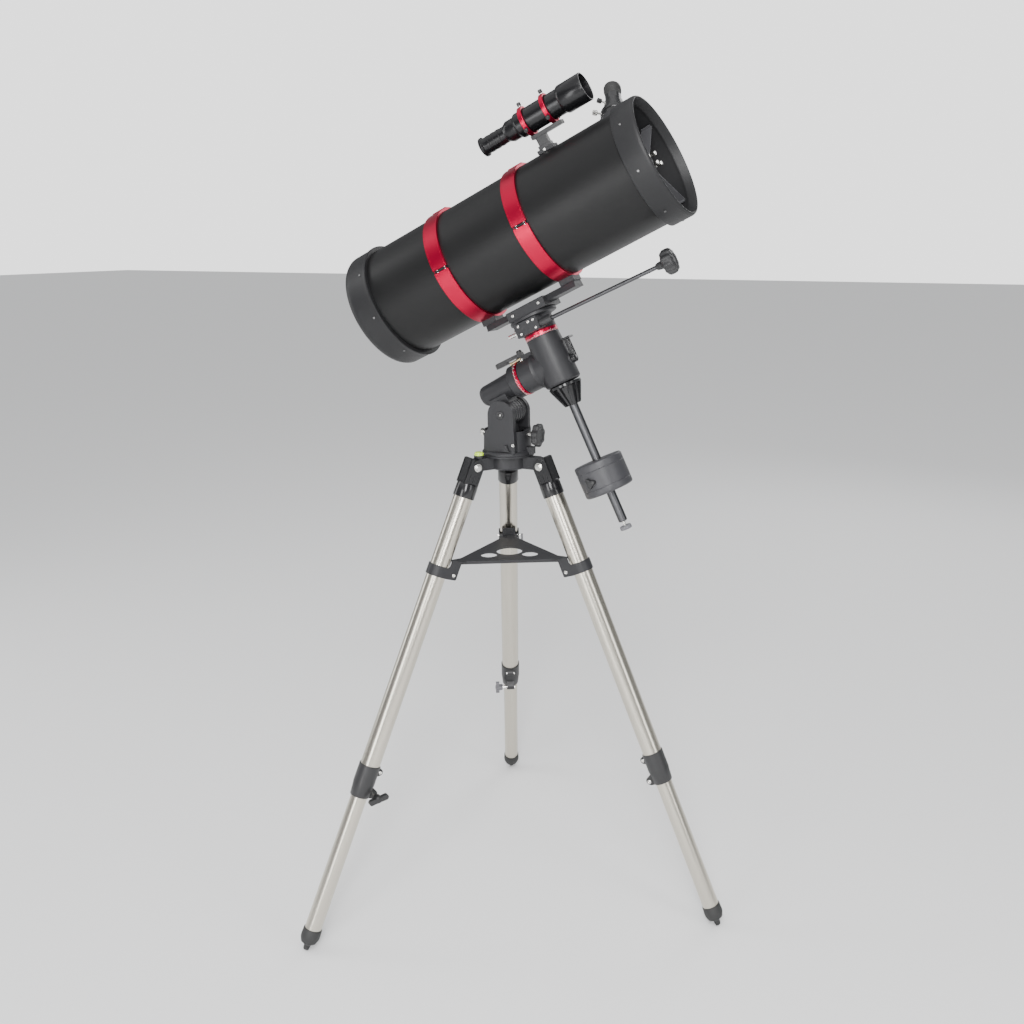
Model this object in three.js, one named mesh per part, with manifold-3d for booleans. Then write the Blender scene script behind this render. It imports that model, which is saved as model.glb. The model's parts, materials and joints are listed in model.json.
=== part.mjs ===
// Newtonian reflector telescope on a German equatorial mount and a three-legged tripod.
// Millimetres, +Z up. +X is the way the polar axis points, and the tube lies parallel to it (home position).
import * as THREE from 'three';
import { mergeVertices } from 'three/addons/utils/BufferGeometryUtils.js';
import Module from 'manifold-3d';

const wasm = await Module();
wasm.setup();

const GAP = 0.3;                 // clearance between neighbouring pieces
const deg = Math.PI / 180;

// Tripod
const TRIPOD_TURN = -4.2;         // the tripod's first leg is turned this far from the polar axis
const LEG_SPREAD = 23.2;         // angle between a leg and the vertical
const PIVOT_HEIGHT = 905;        // leg hinge above the floor
const PIVOT_RADIUS = 79;
const HUB_TOP = 925;
const HUB_FLANGE_RADIUS = 53.5;
const HUB_RADIUS = 41.5;
const HUB_ARM_TOP = 921;
const HUB_BOTTOM = 895;
const UPPER_TUBE_RADIUS = 19.3;
const LOWER_TUBE_RADIUS = 16.3;
const SOCKET_END = 64;           // distances along a leg are measured from its hinge
const TRAY_CLAMP_START = 205;
const TRAY_CLAMP_END = 226.5;
const TRAY_CHEEK_START = 187;
const TRAY_CHEEK_END = 225;
const COLLAR_START = 613;
const COLLAR_SPLIT = 652;
const COLLAR_END = 676;
const COLLAR_SCREW_X = -25.5;
const COLLAR_SCREW_Z = -669;
const FOOT_START = 941;
const LEG_END = 985;
const TRAY_TOP = 717.5;
const TRAY_CORNER_RADIUS = 118;
const TRAY_HINGE_RADIUS = 131;
const TRAY_HINGE_HEIGHT = 714;

// Mount
const HEAD_Z = 1000;             // origin of the polar head's own frame above the floor
const PIVOT_X = 3.5;             // latitude pivot
const PIVOT_Z = 1007.5;
const TILT = 26.5;               // polar axis above the horizontal
const POLAR_AXIS = 53;           // polar axis above the head's origin, square to the axis
const DEC_AXIS = 143;            // declination axis ahead of the head's origin
const FORK_HALF_WIDTH = 41;
const FORK_SLOT_HALF_WIDTH = 30;
const FORK_RADIUS = 28;
const BASE_RADIUS = 47;
const LATITUDE_BOLT_Z = 964.5;
const AXLE_RADIUS = 14.6;
const SHAFT_RADIUS = 9;
const SHAFT_END = -286;
const WEIGHT_RADIUS = 49.5;
const SHAFT_LEAN = 1.6;          // the counterweight shaft leans this far back from the declination axis
const WEIGHT_TOP = -154;
const WEIGHT_BOTTOM = -220;
const WORM_Y = -41;
const WORM_Z = 132;
const ROD_DROOP = 1.5;           // the slow motion rod hangs this far below the line of the tube

// Optical tube
const TUBE_AXIS = 305;           // tube axis above the head's origin, square to the polar axis
const TUBE_RADIUS = 113;
const TUBE_WALL = 1.2;
const END_RADIUS = 120.6;
const TUBE_REAR = -162;
const TUBE_FRONT = 519;
const RING_RADIUS = 118;
const RING_WIDTH = 32;
const REAR_RING_X = 59.5;
const FRONT_RING_X = 244.5;
const BAR_START = 49;
const BAR_END = 258;
const FOCUSER_X = 424;
const FOCUSER_ANGLE = 44;        // from the top of the tube towards its far side
const FINDER_ANGLE = 8.4;        // from the top of the tube towards its near side
const FINDER_RADIUS = 179;       // finder axis from the tube axis
const MIRROR_RADIUS = 101.5;

// ---------- solids ----------

function toSolid(geometry) {
  const bare = new THREE.BufferGeometry();
  bare.setAttribute('position', geometry.getAttribute('position').clone());
  if (geometry.index) {
    bare.setIndex(geometry.index.clone());
  }
  const merged = mergeVertices(bare, 1e-4);
  const vertices = merged.getAttribute('position').array;
  const index = merged.index.array;
  const triangles = [];
  let volume = 0;
  const [a, b, c] = [new THREE.Vector3(), new THREE.Vector3(), new THREE.Vector3()];
  for (let i = 0; i < index.length; i += 3) {
    const [p, q, r] = [index[i], index[i + 1], index[i + 2]];
    if (p !== q && q !== r && r !== p) {
      triangles.push(p, q, r);
      volume += a.fromArray(vertices, 3 * p).dot(b.fromArray(vertices, 3 * q).cross(c.fromArray(vertices, 3 * r)));
    }
  }
  if (volume < 0) {
    triangles.reverse();
  }
  const mesh = new wasm.Mesh({
    numProp: 3,
    vertProperties: Float32Array.from(vertices),
    triVerts: Uint32Array.from(triangles),
  });
  return new wasm.Manifold(mesh);
}

function toGeometry(solid) {
  const mesh = solid.getMesh();
  const geometry = new THREE.BufferGeometry();
  geometry.setAttribute('position', new THREE.BufferAttribute(Float32Array.from(mesh.vertProperties), 3));
  geometry.setIndex(Array.from(mesh.triVerts));
  return geometry;
}

function join(...geometries) {
  return toGeometry(geometries.map(toSolid).reduce((sum, solid) => sum.add(solid)));
}

function cut(base, ...tools) {
  return toGeometry(tools.map(toSolid).reduce((rest, tool) => rest.subtract(tool), toSolid(base)));
}

function overlap(first, second) {
  return toGeometry(toSolid(first).intersect(toSolid(second)));
}

// A box between two values on each axis.
function block(x0, x1, y0, y1, z0, z1) {
  const geometry = new THREE.BoxGeometry(x1 - x0, y1 - y0, z1 - z0);
  return geometry.translate((x0 + x1) / 2, (y0 + y1) / 2, (z0 + z1) / 2);
}

// A profile of [radius, height] pairs turned about Z.
function turned(profile, sides) {
  const points = profile.map(([radius, height]) => new THREE.Vector2(radius, height));
  return new THREE.LatheGeometry(points, sides).rotateX(90 * deg);
}

function rodZ(radius, z0, z1, sides) {
  return turned([[0, z0], [radius, z0], [radius, z1], [0, z1]], sides);
}

function ringZ(inner, outer, z0, z1, sides) {
  return turned([[inner, z0], [outer, z0], [outer, z1], [inner, z1], [inner, z0]], sides);
}

// Turns a solid made about Z so that it lies along +X or +Y.
function alongX(geometry) {
  return geometry.rotateY(90 * deg);
}

function alongY(geometry) {
  return geometry.rotateX(-90 * deg);
}

function rodX(radius, x0, x1, sides) {
  return alongX(rodZ(radius, x0, x1, sides));
}

function rodY(radius, y0, y1, sides) {
  return alongY(rodZ(radius, y0, y1, sides));
}

// A flat outline of [x, y] points with round holes, raised from z0 to z1.
function plate(points, holes, z0, z1) {
  const shape = new THREE.Shape(points.map(([x, y]) => new THREE.Vector2(x, y)));
  for (const [x, y, radius] of holes) {
    const hole = new THREE.Path();
    hole.absarc(x, y, radius, 0, 2 * Math.PI, true);
    shape.holes.push(hole);
  }
  const options = { depth: z1 - z0, bevelEnabled: false, curveSegments: 12 };
  return new THREE.ExtrudeGeometry(shape, options).translate(0, 0, z0);
}

// A lobed knob head: its radius swings between two values.
function lobedKnob(inner, outer, lobes, z0, z1) {
  const steps = lobes * 6;
  const points = [];
  for (let i = 0; i < steps; i += 1) {
    const angle = (2 * Math.PI * i) / steps;
    const radius = (inner + outer) / 2 + ((outer - inner) / 2) * Math.cos(lobes * angle);
    points.push([radius * Math.cos(angle), radius * Math.sin(angle)]);
  }
  return plate(points, [], z0, z1);
}

// ---------- materials and naming ----------

const finish = (color, metalness, roughness) => ({ color, metalness, roughness });
const PAINT = finish(0x3a3a3c, 0.3, 0.55);
const TUBE_PAINT = finish(0x2f2f31, 0.3, 0.5);
const GLOSS_PLASTIC = finish(0x111111, 0, 0.25);
const MATTE_PLASTIC = finish(0x1c1c1d, 0, 0.6);
const STEEL = finish(0xc9c4b8, 1, 0.3);
const ZINC = finish(0xd0cfca, 1, 0.25);
const RED = finish(0xb3122c, 0.7, 0.35);
const MIRROR = finish(0xf2f4f6, 1, 0.02);
const LEVEL = finish(0xc8e83c, 0, 0.1);
const RUBBER = finish(0x141414, 0, 0.8);

function addPiece(group, name, geometry, look) {
  const solid = toGeometry(toSolid(geometry)).toNonIndexed();
  solid.computeVertexNormals();
  const mesh = new THREE.Mesh(solid, new THREE.MeshStandardMaterial(look));
  mesh.name = name;
  group.add(mesh);
}

// ---------- tripod ----------

const legAngles = [0, 120, 240];

function makeHub() {
  const disc = turned(
    [[0, HUB_BOTTOM], [HUB_RADIUS - 3, HUB_BOTTOM], [HUB_RADIUS, HUB_BOTTOM + 3], [HUB_RADIUS, HUB_ARM_TOP],
      [HUB_FLANGE_RADIUS, HUB_ARM_TOP], [HUB_FLANGE_RADIUS, HUB_TOP], [0, HUB_TOP]], 32);
  const arms = legAngles.map((angle) => {
    const beam = block(30, PIVOT_RADIUS, -11, 11, HUB_BOTTOM + 1, HUB_ARM_TOP);
    const nose = rodY(12.4, -11, 11, 16).translate(PIVOT_RADIUS, 0, PIVOT_HEIGHT);
    const hole = rodY(4.3, -12, 12, 12).translate(PIVOT_RADIUS, 0, PIVOT_HEIGHT);
    return cut(join(beam, nose), hole).rotateZ(angle * deg);
  });
  const bore = rodZ(6.5, HUB_BOTTOM - 1, HUB_TOP + 1, 16);
  return cut(join(disc, ...arms), bore);
}

function makeBubbleLevel() {
  return turned([[0, 0], [10, 0], [10, 7], [8, 11], [0, 13]], 16);
}

// One bolt through an arm and both cheeks, with a washer and head at one end and a nut at the other.
function makeLegBolt() {
  const shank = rodY(4, -24, 24, 12);
  const washers = [rodY(8, 17.3, 18.8, 14), rodY(8, -18.8, -17.3, 14)];
  const heads = [rodY(6.5, 18.8, 23, 6), rodY(6.5, -24, -18.8, 6)];
  return join(shank, ...washers, ...heads);
}

// Leg pieces are drawn about the hinge: X outwards, Y sideways, the leg running down along -Z.
function makeLegSocket() {
  const head = join(
    rodY(14, -17, 17, 16),
    block(-14, 17.5, -17, 17, -38, 0),
    block(13, 17.5, -17, 17, -10, 30),
    rodZ(21.8, -SOCKET_END, -30, 24));
  const slot = block(-30, 13, -11.4, 11.4, -24, 40);
  const above = block(-60, 60, -30, 30, HUB_TOP - 1 - PIVOT_HEIGHT, 80).rotateY(LEG_SPREAD * deg);
  const tubeSeat = rodZ(UPPER_TUBE_RADIUS + GAP, -SOCKET_END - 1, -36, 20);
  const boltHole = rodY(4.3, -18, 18, 12);
  return cut(head, slot, above, tubeSeat, boltHole);
}

function makeUpperTube() {
  return ringZ(UPPER_TUBE_RADIUS - 1.5, UPPER_TUBE_RADIUS, -COLLAR_SPLIT + 2, -36.3, 24);
}

// A strap round the outside of the leg whose two ends run inwards as flat cheeks.
function makeTrayClamp() {
  const inner = UPPER_TUBE_RADIUS + GAP;
  const outer = inner + 2.2;
  const [z0, z1] = [-TRAY_CLAMP_END, -TRAY_CLAMP_START];
  const strap = cut(ringZ(inner, outer, z0, z1, 24), block(-40, 0, -40, 40, z0 - 1, z1 + 1));
  const cheeks = [inner, -outer].map((y) => join(
    block(-12, 0.5, y, y + 2.2, z0, z1),
    block(-34, -10, y, y + 2.2, -TRAY_CHEEK_END, -TRAY_CHEEK_START)));
  return join(strap, ...cheeks);
}

function makeCollar() {
  const upper = ringZ(UPPER_TUBE_RADIUS + GAP, 21.2, -COLLAR_SPLIT, -COLLAR_START, 24);
  const lower = turned(
    [[LOWER_TUBE_RADIUS + GAP, -COLLAR_END], [18.6, -COLLAR_END], [20.6, -COLLAR_SPLIT + 1],
      [LOWER_TUBE_RADIUS + GAP, -COLLAR_SPLIT + 1], [LOWER_TUBE_RADIUS + GAP, -COLLAR_END]], 24);
  const upperEar = block(-28.5, -18, -8, 8, -633, -617);
  const upperEarRoom = rodZ(UPPER_TUBE_RADIUS + GAP, -640, -610, 24);
  const lowerEar = block(-31, -15, -9, 9, -COLLAR_END, -658);
  const lowerEarRoom = rodZ(LOWER_TUBE_RADIUS + GAP, -COLLAR_END - 1, -650, 24);
  const bore = rodY(3.8, -10, 10, 12).translate(COLLAR_SCREW_X, 0, COLLAR_SCREW_Z);
  return cut(join(upper, lower, cut(upperEar, upperEarRoom), lowerEar), lowerEarRoom, bore);
}

// A wing screw whose stem runs sideways through the collar's lower ear.
function makeCollarKnob(wingAngle) {
  const stem = rodY(3.4, -12, 27, 12);
  const boss = rodY(7, 20, 36, 14);
  const wing = block(-20.5, 20.5, 28, 36, -4.5, 4.5).rotateY(wingAngle * deg);
  return join(stem, boss, wing).translate(COLLAR_SCREW_X, 0, COLLAR_SCREW_Z);
}

function makeLowerTube() {
  return ringZ(LOWER_TUBE_RADIUS - 1.5, LOWER_TUBE_RADIUS, -FOOT_START - 4, -400, 24);
}

function makeFoot() {
  const base = -FOOT_START - 4.3;
  return turned(
    [[0, base], [LOWER_TUBE_RADIUS + GAP, base], [LOWER_TUBE_RADIUS + GAP, -FOOT_START], [17.8, -FOOT_START],
      [18.5, -FOOT_START - 15], [16, -FOOT_START - 26], [7, -FOOT_START - 31], [5.6, -LEG_END + 2], [0, -LEG_END]], 20);
}

// A triangular plate with a downturned lip, a tab at each corner and a hinge barrel at the back corner.
function makeTray() {
  const corners = (radius, halfWidth) => legAngles.flatMap((angle) => [-halfWidth, halfWidth].map((side) => {
    const [c, s] = [Math.cos(angle * deg), Math.sin(angle * deg)];
    return [radius * c - side * s, radius * s + side * c];
  }));
  const outline = corners(TRAY_CORNER_RADIUS, 6);
  const insetOutline = corners(TRAY_CORNER_RADIUS - 4, 4.6);
  const smallHoles = [0, 240].map((angle) => [48 * Math.cos(angle * deg), 48 * Math.sin(angle * deg), 16.6]);
  const sheet = plate(outline, [[0, 0, 26.5], ...smallHoles], TRAY_TOP - 2.5, TRAY_TOP);
  const lip = cut(plate(outline, [], TRAY_TOP - 6.5, TRAY_TOP - 1), plate(insetOutline, [], TRAY_TOP - 8, TRAY_TOP));
  const tabs = legAngles.map((angle) => {
    const tab = block(92, 129, -14, 14, TRAY_TOP - 2.5, TRAY_TOP);
    const flange = angle === 120 ? block(124, 126.5, -14, 14, TRAY_TOP - 1, TRAY_TOP + 14)
      : block(124, 126.5, -14, 14, TRAY_TOP - 12, TRAY_TOP - 1);
    return join(tab, flange).rotateZ(angle * deg);
  });
  const barrel = join(
    rodY(4.5, -19.2, 19.2, 14).translate(TRAY_HINGE_RADIUS, 0, TRAY_HINGE_HEIGHT),
    rodY(2.6, -24.5, 24.5, 12).translate(TRAY_HINGE_RADIUS, 0, TRAY_HINGE_HEIGHT),
    block(TRAY_HINGE_RADIUS - 5, TRAY_HINGE_RADIUS, -14, 14, TRAY_HINGE_HEIGHT, TRAY_TOP - 0.5));
  return join(sheet, lip, ...tabs, barrel.rotateZ(120 * deg));
}

const tripod = new THREE.Group();
tripod.rotation.z = TRIPOD_TURN * deg;
addPiece(tripod, 'tripod_hub', makeHub(), PAINT);
const levelRadius = 67;
const level = makeBubbleLevel().translate(
  levelRadius * Math.cos(240 * deg), levelRadius * Math.sin(240 * deg), HUB_ARM_TOP + GAP);
addPiece(tripod, 'bubble_level', level, LEVEL);
addPiece(tripod, 'accessory_tray', makeTray(), PAINT);

legAngles.forEach((angle, i) => {
  const side = new THREE.Group();
  side.rotation.z = angle * deg;
  tripod.add(side);
  const hinge = new THREE.Group();
  hinge.position.set(PIVOT_RADIUS, 0, PIVOT_HEIGHT);
  side.add(hinge);
  addPiece(hinge, `leg_bolt_${i + 1}`, makeLegBolt(), ZINC);
  const leg = new THREE.Group();
  leg.rotation.y = -LEG_SPREAD * deg;
  hinge.add(leg);
  const clampPinHole = rodY(2.9, -30, 30, 12)
    .translate(TRAY_HINGE_RADIUS - PIVOT_RADIUS, 0, TRAY_HINGE_HEIGHT - PIVOT_HEIGHT)
    .rotateY(LEG_SPREAD * deg);
  addPiece(leg, `leg_socket_${i + 1}`, makeLegSocket(), GLOSS_PLASTIC);
  addPiece(leg, `upper_leg_${i + 1}`, makeUpperTube(), STEEL);
  addPiece(leg, `tray_clamp_${i + 1}`, cut(makeTrayClamp(), clampPinHole), MATTE_PLASTIC);
  addPiece(leg, `leg_collar_${i + 1}`, makeCollar(), MATTE_PLASTIC);
  addPiece(leg, `leg_knob_${i + 1}`, makeCollarKnob([-60, 80, 30][i]), MATTE_PLASTIC);
  addPiece(leg, `lower_leg_${i + 1}`, makeLowerTube(), STEEL);
  addPiece(leg, `leg_foot_${i + 1}`, makeFoot(), RUBBER);
});

// ---------- azimuth base ----------

function makeAzimuthBase() {
  const bottom = HUB_TOP + GAP;
  const body = turned(
    [[0, bottom], [52, bottom], [52, 929], [49, 932], [BASE_RADIUS, 934], [BASE_RADIUS, 974], [0, 974]], 32);
  const shoulder = block(-33, 33, -FORK_HALF_WIDTH, FORK_HALF_WIDTH, bottom, 974);
  const cheek = join(
    rodY(FORK_RADIUS, -FORK_HALF_WIDTH, FORK_HALF_WIDTH, 24).translate(PIVOT_X, 0, PIVOT_Z),
    block(PIVOT_X - FORK_RADIUS, PIVOT_X + FORK_RADIUS, -FORK_HALF_WIDTH, FORK_HALF_WIDTH, 936, PIVOT_Z));
  const slot = block(-35, 35.5, -FORK_SLOT_HALF_WIDTH, FORK_SLOT_HALF_WIDTH, 944, 1050);
  const pivotHole = rodY(5.9, -50, 50, 14).translate(PIVOT_X, 0, PIVOT_Z);
  const boltHole = rodX(5.4, -60, 60, 14).translate(0, 0, LATITUDE_BOLT_Z);
  const northLug = block(44, 58, -9, 9, bottom, 940);
  return cut(join(body, shoulder, cheek, northLug), slot, pivotHole, boltHole);
}

function makeLatitudeKnob() {
  const stem = rodX(5, 36.5, 61, 14);
  const collar = rodX(9, 54, 61, 16);
  const head = alongX(lobedKnob(20, 24, 7, 60, 73));
  return join(stem, collar, head).translate(0, 0, LATITUDE_BOLT_Z);
}

function makeLatitudeBolt() {
  return join(
    rodY(5.6, -43, 43, 14),
    rodY(8, FORK_HALF_WIDTH + GAP, 44, 16),
    rodY(8, -44, -FORK_HALF_WIDTH - GAP, 16)).translate(PIVOT_X, 0, PIVOT_Z);
}

const mount = new THREE.Group();
addPiece(mount, 'azimuth_base', makeAzimuthBase(), PAINT);
addPiece(mount, 'latitude_knob', makeLatitudeKnob(), MATTE_PLASTIC);
addPiece(mount, 'latitude_bolt', makeLatitudeBolt(), ZINC);

// ---------- polar head: X along the polar axis, Z square to it ----------

const polar = new THREE.Group();
polar.position.z = HEAD_Z;
polar.rotation.y = -TILT * deg;
mount.add(polar);

// The latitude pivot in the polar head's frame.
const pivotAlong = PIVOT_X * Math.cos(TILT * deg) + (PIVOT_Z - HEAD_Z) * Math.sin(TILT * deg);
const pivotAcross = (PIVOT_Z - HEAD_Z) * Math.cos(TILT * deg) - PIVOT_X * Math.sin(TILT * deg);

function makeRaHousing() {
  const barrel = alongX(turned(
    [[0, -31.5], [16, -31.5], [21, -25], [25, 35], [28, 46], [33.5, 48], [33.5, 64.4],
      [AXLE_RADIUS, 64.4], [AXLE_RADIUS, 86], [0, 86]], 32)).translate(0, 0, POLAR_AXIS);
  const lug = rodY(26, -29.5, 29.5, 24).translate(pivotAlong, 0, pivotAcross);
  const neck = block(-18, 28, -22, 22, pivotAcross, POLAR_AXIS - 12);
  const tail = block(-8, 8, -12, 12, -42, -10).rotateY(14 * deg).translate(pivotAlong, 0, pivotAcross);
  const hole = rodY(5.9, -35, 35, 14).translate(pivotAlong, 0, pivotAcross);
  return cut(join(barrel, lug, neck, tail), hole);
}

function makeRaCircle() {
  return alongX(ringZ(AXLE_RADIUS + GAP, 34.8, 64.7, 72, 36)).translate(0, 0, POLAR_AXIS);
}

// The casting that holds the declination axis, with the sleeve that turns on the polar axle.
function makeDecHousing() {
  const sleeve = alongX(turned([[0, 72.3], [34, 72.3], [34, DEC_AXIS], [0, DEC_AXIS]], 32))
    .translate(0, 0, POLAR_AXIS);
  const barrel = turned([[0, 9], [33.5, 9], [36.5, 14], [36, 60], [33.8, 111.2], [0, 111.2]], 32).translate(DEC_AXIS, 0, 0);
  const leverBoss = block(74, 96, -11, 11, 80, 95);
  const lockBoss = rodX(11, DEC_AXIS + 20, DEC_AXIS + 38, 16).translate(0, 0, 47);
  const polarBore = rodX(AXLE_RADIUS + GAP, 60, 87, 32).translate(0, 0, POLAR_AXIS);
  const decBore = rodZ(AXLE_RADIUS + GAP, 71, 120, 32).translate(DEC_AXIS, 0, 0);
  const shaftBore = rodZ(SHAFT_RADIUS + 2, 0, 46, 20).translate(DEC_AXIS, 0, 0);
  return cut(join(sleeve, barrel, leverBoss, lockBoss), polarBore, decBore, shaftBore);
}

// A flat paddle lying back along the polar axis from its pivot.
function makeRaLever() {
  const paddle = plate([[24, -5.5], [28, -7], [56, -7], [68, -6], [88, -6], [88, 6], [68, 6], [56, 7], [28, 7], [24, 5.5]],
    [], 95.3, 102);
  return join(paddle, rodZ(4.5, 101, 107, 14).translate(82, 0, 0));
}

function makeDecLever() {
  const x0 = DEC_AXIS + 38 + GAP;
  const hub = rodX(10, x0, x0 + 9, 16).translate(0, 0, 47);
  const paddle = block(x0 + 2, x0 + 8.5, -7, 7, 47, 88);
  const tip = block(x0 - 1, x0 + 17, -11, 11, 85, 89);
  return join(hub, paddle, tip);
}

function makeDecCircle() {
  return ringZ(AXLE_RADIUS + GAP, 34.2, 111.5, 120.5, 36).translate(DEC_AXIS, 0, 0);
}

// Places a piece of the counterweight shaft, drawn about Z, on its leaning line.
function leaned(geometry) {
  return geometry.rotateY(SHAFT_LEAN * deg).translate(DEC_AXIS, 0, 0);
}

// Fluted cone that covers the root of the counterweight shaft.
function makeShaftSkirt() {
  const cone = turned([[0, -36], [17, -36], [33.5, 5], [33.5, 7.4], [0, 7.4]], 24);
  const flutes = [];
  for (let i = 0; i < 8; i += 1) {
    flutes.push(block(24.5, 50, -3.5, 3.5, -60, 3).rotateY(-14 * deg).rotateZ(i * 45 * deg));
  }
  const bore = rodZ(SHAFT_RADIUS + GAP, -40, 12, 20);
  return leaned(cut(cone, bore, ...flutes));
}

function makeShaft() {
  const shaft = turned([[0, SHAFT_END], [7.5, SHAFT_END], [SHAFT_RADIUS, SHAFT_END + 2], [SHAFT_RADIUS, 44], [0, 44]], 20);
  const thread = rodZ(3.3, SHAFT_END - 1, SHAFT_END + 16, 12);
  return leaned(cut(shaft, thread));
}

function makeCounterweight() {
  const body = turned(
    [[SHAFT_RADIUS + GAP, WEIGHT_BOTTOM], [WEIGHT_RADIUS - 4, WEIGHT_BOTTOM], [WEIGHT_RADIUS, WEIGHT_BOTTOM + 4],
      [WEIGHT_RADIUS, WEIGHT_TOP - 4], [WEIGHT_RADIUS - 4, WEIGHT_TOP], [SHAFT_RADIUS + GAP, WEIGHT_TOP],
      [SHAFT_RADIUS + GAP, WEIGHT_BOTTOM]], 36);
  const flat = block(-13, 13, -60, -WEIGHT_RADIUS + 4, -203, -177);
  const hole = rodY(4.3, -60, -SHAFT_RADIUS, 12).translate(0, 0, -190);
  return leaned(cut(body, flat, hole).rotateZ(-12 * deg));
}

function makeWeightKnob() {
  const stem = rodY(4, -WEIGHT_RADIUS - 4, -SHAFT_RADIUS - 2, 12);
  const head = alongY(lobedKnob(8, 12, 3, -WEIGHT_RADIUS - 8, -WEIGHT_RADIUS + 3.5));
  return leaned(join(stem, head).translate(0, 0, -190).rotateZ(-12 * deg));
}

function makeEndScrew() {
  const stem = rodZ(3, SHAFT_END - 8, SHAFT_END + 14, 12);
  const head = turned([[0, SHAFT_END - 17], [10, SHAFT_END - 17], [12, SHAFT_END - 15], [12, SHAFT_END - 10],
    [8, SHAFT_END - 7], [0, SHAFT_END - 7]], 16);
  return leaned(join(stem, head));
}

addPiece(polar, 'ra_housing', makeRaHousing(), PAINT);
addPiece(polar, 'ra_setting_circle', makeRaCircle(), RED);
addPiece(polar, 'dec_housing', makeDecHousing(), PAINT);
addPiece(polar, 'ra_lock_lever', makeRaLever(), MATTE_PLASTIC);
addPiece(polar, 'dec_lock_lever', makeDecLever(), GLOSS_PLASTIC);
addPiece(polar, 'shaft_skirt', makeShaftSkirt(), GLOSS_PLASTIC);
addPiece(polar, 'counterweight_shaft', makeShaft(), PAINT);
addPiece(polar, 'counterweight', makeCounterweight(), PAINT);
addPiece(polar, 'counterweight_knob', makeWeightKnob(), MATTE_PLASTIC);
addPiece(polar, 'shaft_end_screw', makeEndScrew(), MATTE_PLASTIC);
addPiece(polar, 'dec_setting_circle', makeDecCircle(), RED);

// ---------- declination head, saddle and slow motion ----------

// The declination worm and its control rod lie along a line that droops a little towards the front.
function alongRod(geometry) {
  return geometry.rotateY(ROD_DROOP * deg).translate(DEC_AXIS, WORM_Y, WORM_Z);
}

function makeDecHead() {
  const turnedPart = turned(
    [[0, 72], [AXLE_RADIUS, 72], [AXLE_RADIUS, 120.8], [34, 120.8], [34, 147], [40, 150], [48, 150], [48.5, 151],
      [48.5, 157], [0, 157]], 32).translate(DEC_AXIS, 0, 0);
  const wormBox = block(117, 169, -52, -20, 121.5, 148.5);
  const socket = alongRod(rodX(8, 22, 52, 16));
  const wormBore = alongRod(rodX(4.5, -60, 60, 14));
  return cut(join(turnedPart, wormBox, socket), wormBore);
}

// The declination worm shaft, its long control rod and the knob at the end.
function makeSlowMotionRod() {
  const rod = rodX(4, -48, 296, 12);
  const knob = alongX(turned(
    [[0, 282], [6, 282], [8, 288], [10, 296], [19, 302], [24, 308], [24.5, 314], [22, 321], [0, 325]], 24));
  return alongRod(join(rod, knob));
}

function dovetailOutline(halfWidthLow, halfWidthHigh, z0, z1) {
  return [[-halfWidthLow, z0], [halfWidthLow, z0], [halfWidthHigh, z1], [-halfWidthHigh, z1]];
}

// A bar of dovetail section along X.
function makeBarSolid(low, high, z0, z1, x0, x1) {
  const shape = new THREE.Shape(dovetailOutline(low, high, z0, z1).map(([y, z]) => new THREE.Vector2(y, z)));
  const bar = new THREE.ExtrudeGeometry(shape, { depth: x1 - x0, bevelEnabled: false });
  const basis = new THREE.Matrix4().makeBasis(
    new THREE.Vector3(0, 1, 0), new THREE.Vector3(0, 0, 1), new THREE.Vector3(1, 0, 0));
  return bar.applyMatrix4(basis).translate(x0, 0, 0);
}

function makeSaddle() {
  const body = block(107, 193, -38, 38, 157.3, 177.5);
  const channel = makeBarSolid(22.6, 18.9, 165, 178.6, 100, 210);
  const stemHole = rodY(4.3, 10, 50, 12).translate(154.5, 0, 171);
  return cut(body, channel, stemHole);
}

function makeSaddleKnob() {
  const stem = rodY(3.8, 22.5, 46, 12);
  const head = alongY(lobedKnob(11, 14, 5, 41, 53));
  return join(stem, head).translate(154.5, 0, 171);
}

function makeDovetailBar() {
  return makeBarSolid(22.2, 18.6, 165.3, 177.7, BAR_START, BAR_END);
}

addPiece(polar, 'dec_head', makeDecHead(), PAINT);
addPiece(polar, 'slow_motion_rod', makeSlowMotionRod(), MATTE_PLASTIC);
addPiece(polar, 'saddle', makeSaddle(), PAINT);
addPiece(polar, 'saddle_knob', makeSaddleKnob(), MATTE_PLASTIC);
addPiece(polar, 'dovetail_bar', makeDovetailBar(), PAINT);

// ---------- optical tube: same X, origin on the tube axis ----------

const tube = new THREE.Group();
tube.position.z = TUBE_AXIS;
polar.add(tube);

// A split ring with a foot on the dovetail bar and a flat pad on top.
function makeTubeRing(x) {
  const [x0, x1] = [x - RING_WIDTH / 2, x + RING_WIDTH / 2];
  const band = rodX(RING_RADIUS, x0, x1, 48);
  const foot = block(x0, x1, -19, 19, 178 - TUBE_AXIS, -100);
  const pad = block(x0, x1, -16, 16, 100, 119.5);
  const bore = rodX(TUBE_RADIUS + GAP, x0 - 1, x1 + 1, 48);
  const split = block(x0 - 1, x1 + 1, -130, -100, -6.6, -5);
  return cut(join(band, foot, pad), bore, split);
}

function makeMainTube() {
  const shell = alongX(ringZ(TUBE_RADIUS - TUBE_WALL, TUBE_RADIUS, -149, 500, 48));
  const focuserHole = rodZ(29, 60, 140, 20).translate(FOCUSER_X, 0, 0).rotateX(-FOCUSER_ANGLE * deg);
  return cut(shell, focuserHole);
}

function makeFrontRing() {
  const seat = TUBE_RADIUS + GAP;
  return alongX(turned(
    [[seat, 472], [END_RADIUS, 472], [END_RADIUS, TUBE_FRONT - 4], [117, TUBE_FRONT], [114.5, TUBE_FRONT - 1],
      [110, 503], [110, 500.4], [seat, 500.4], [seat, 472]], 48));
}

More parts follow.
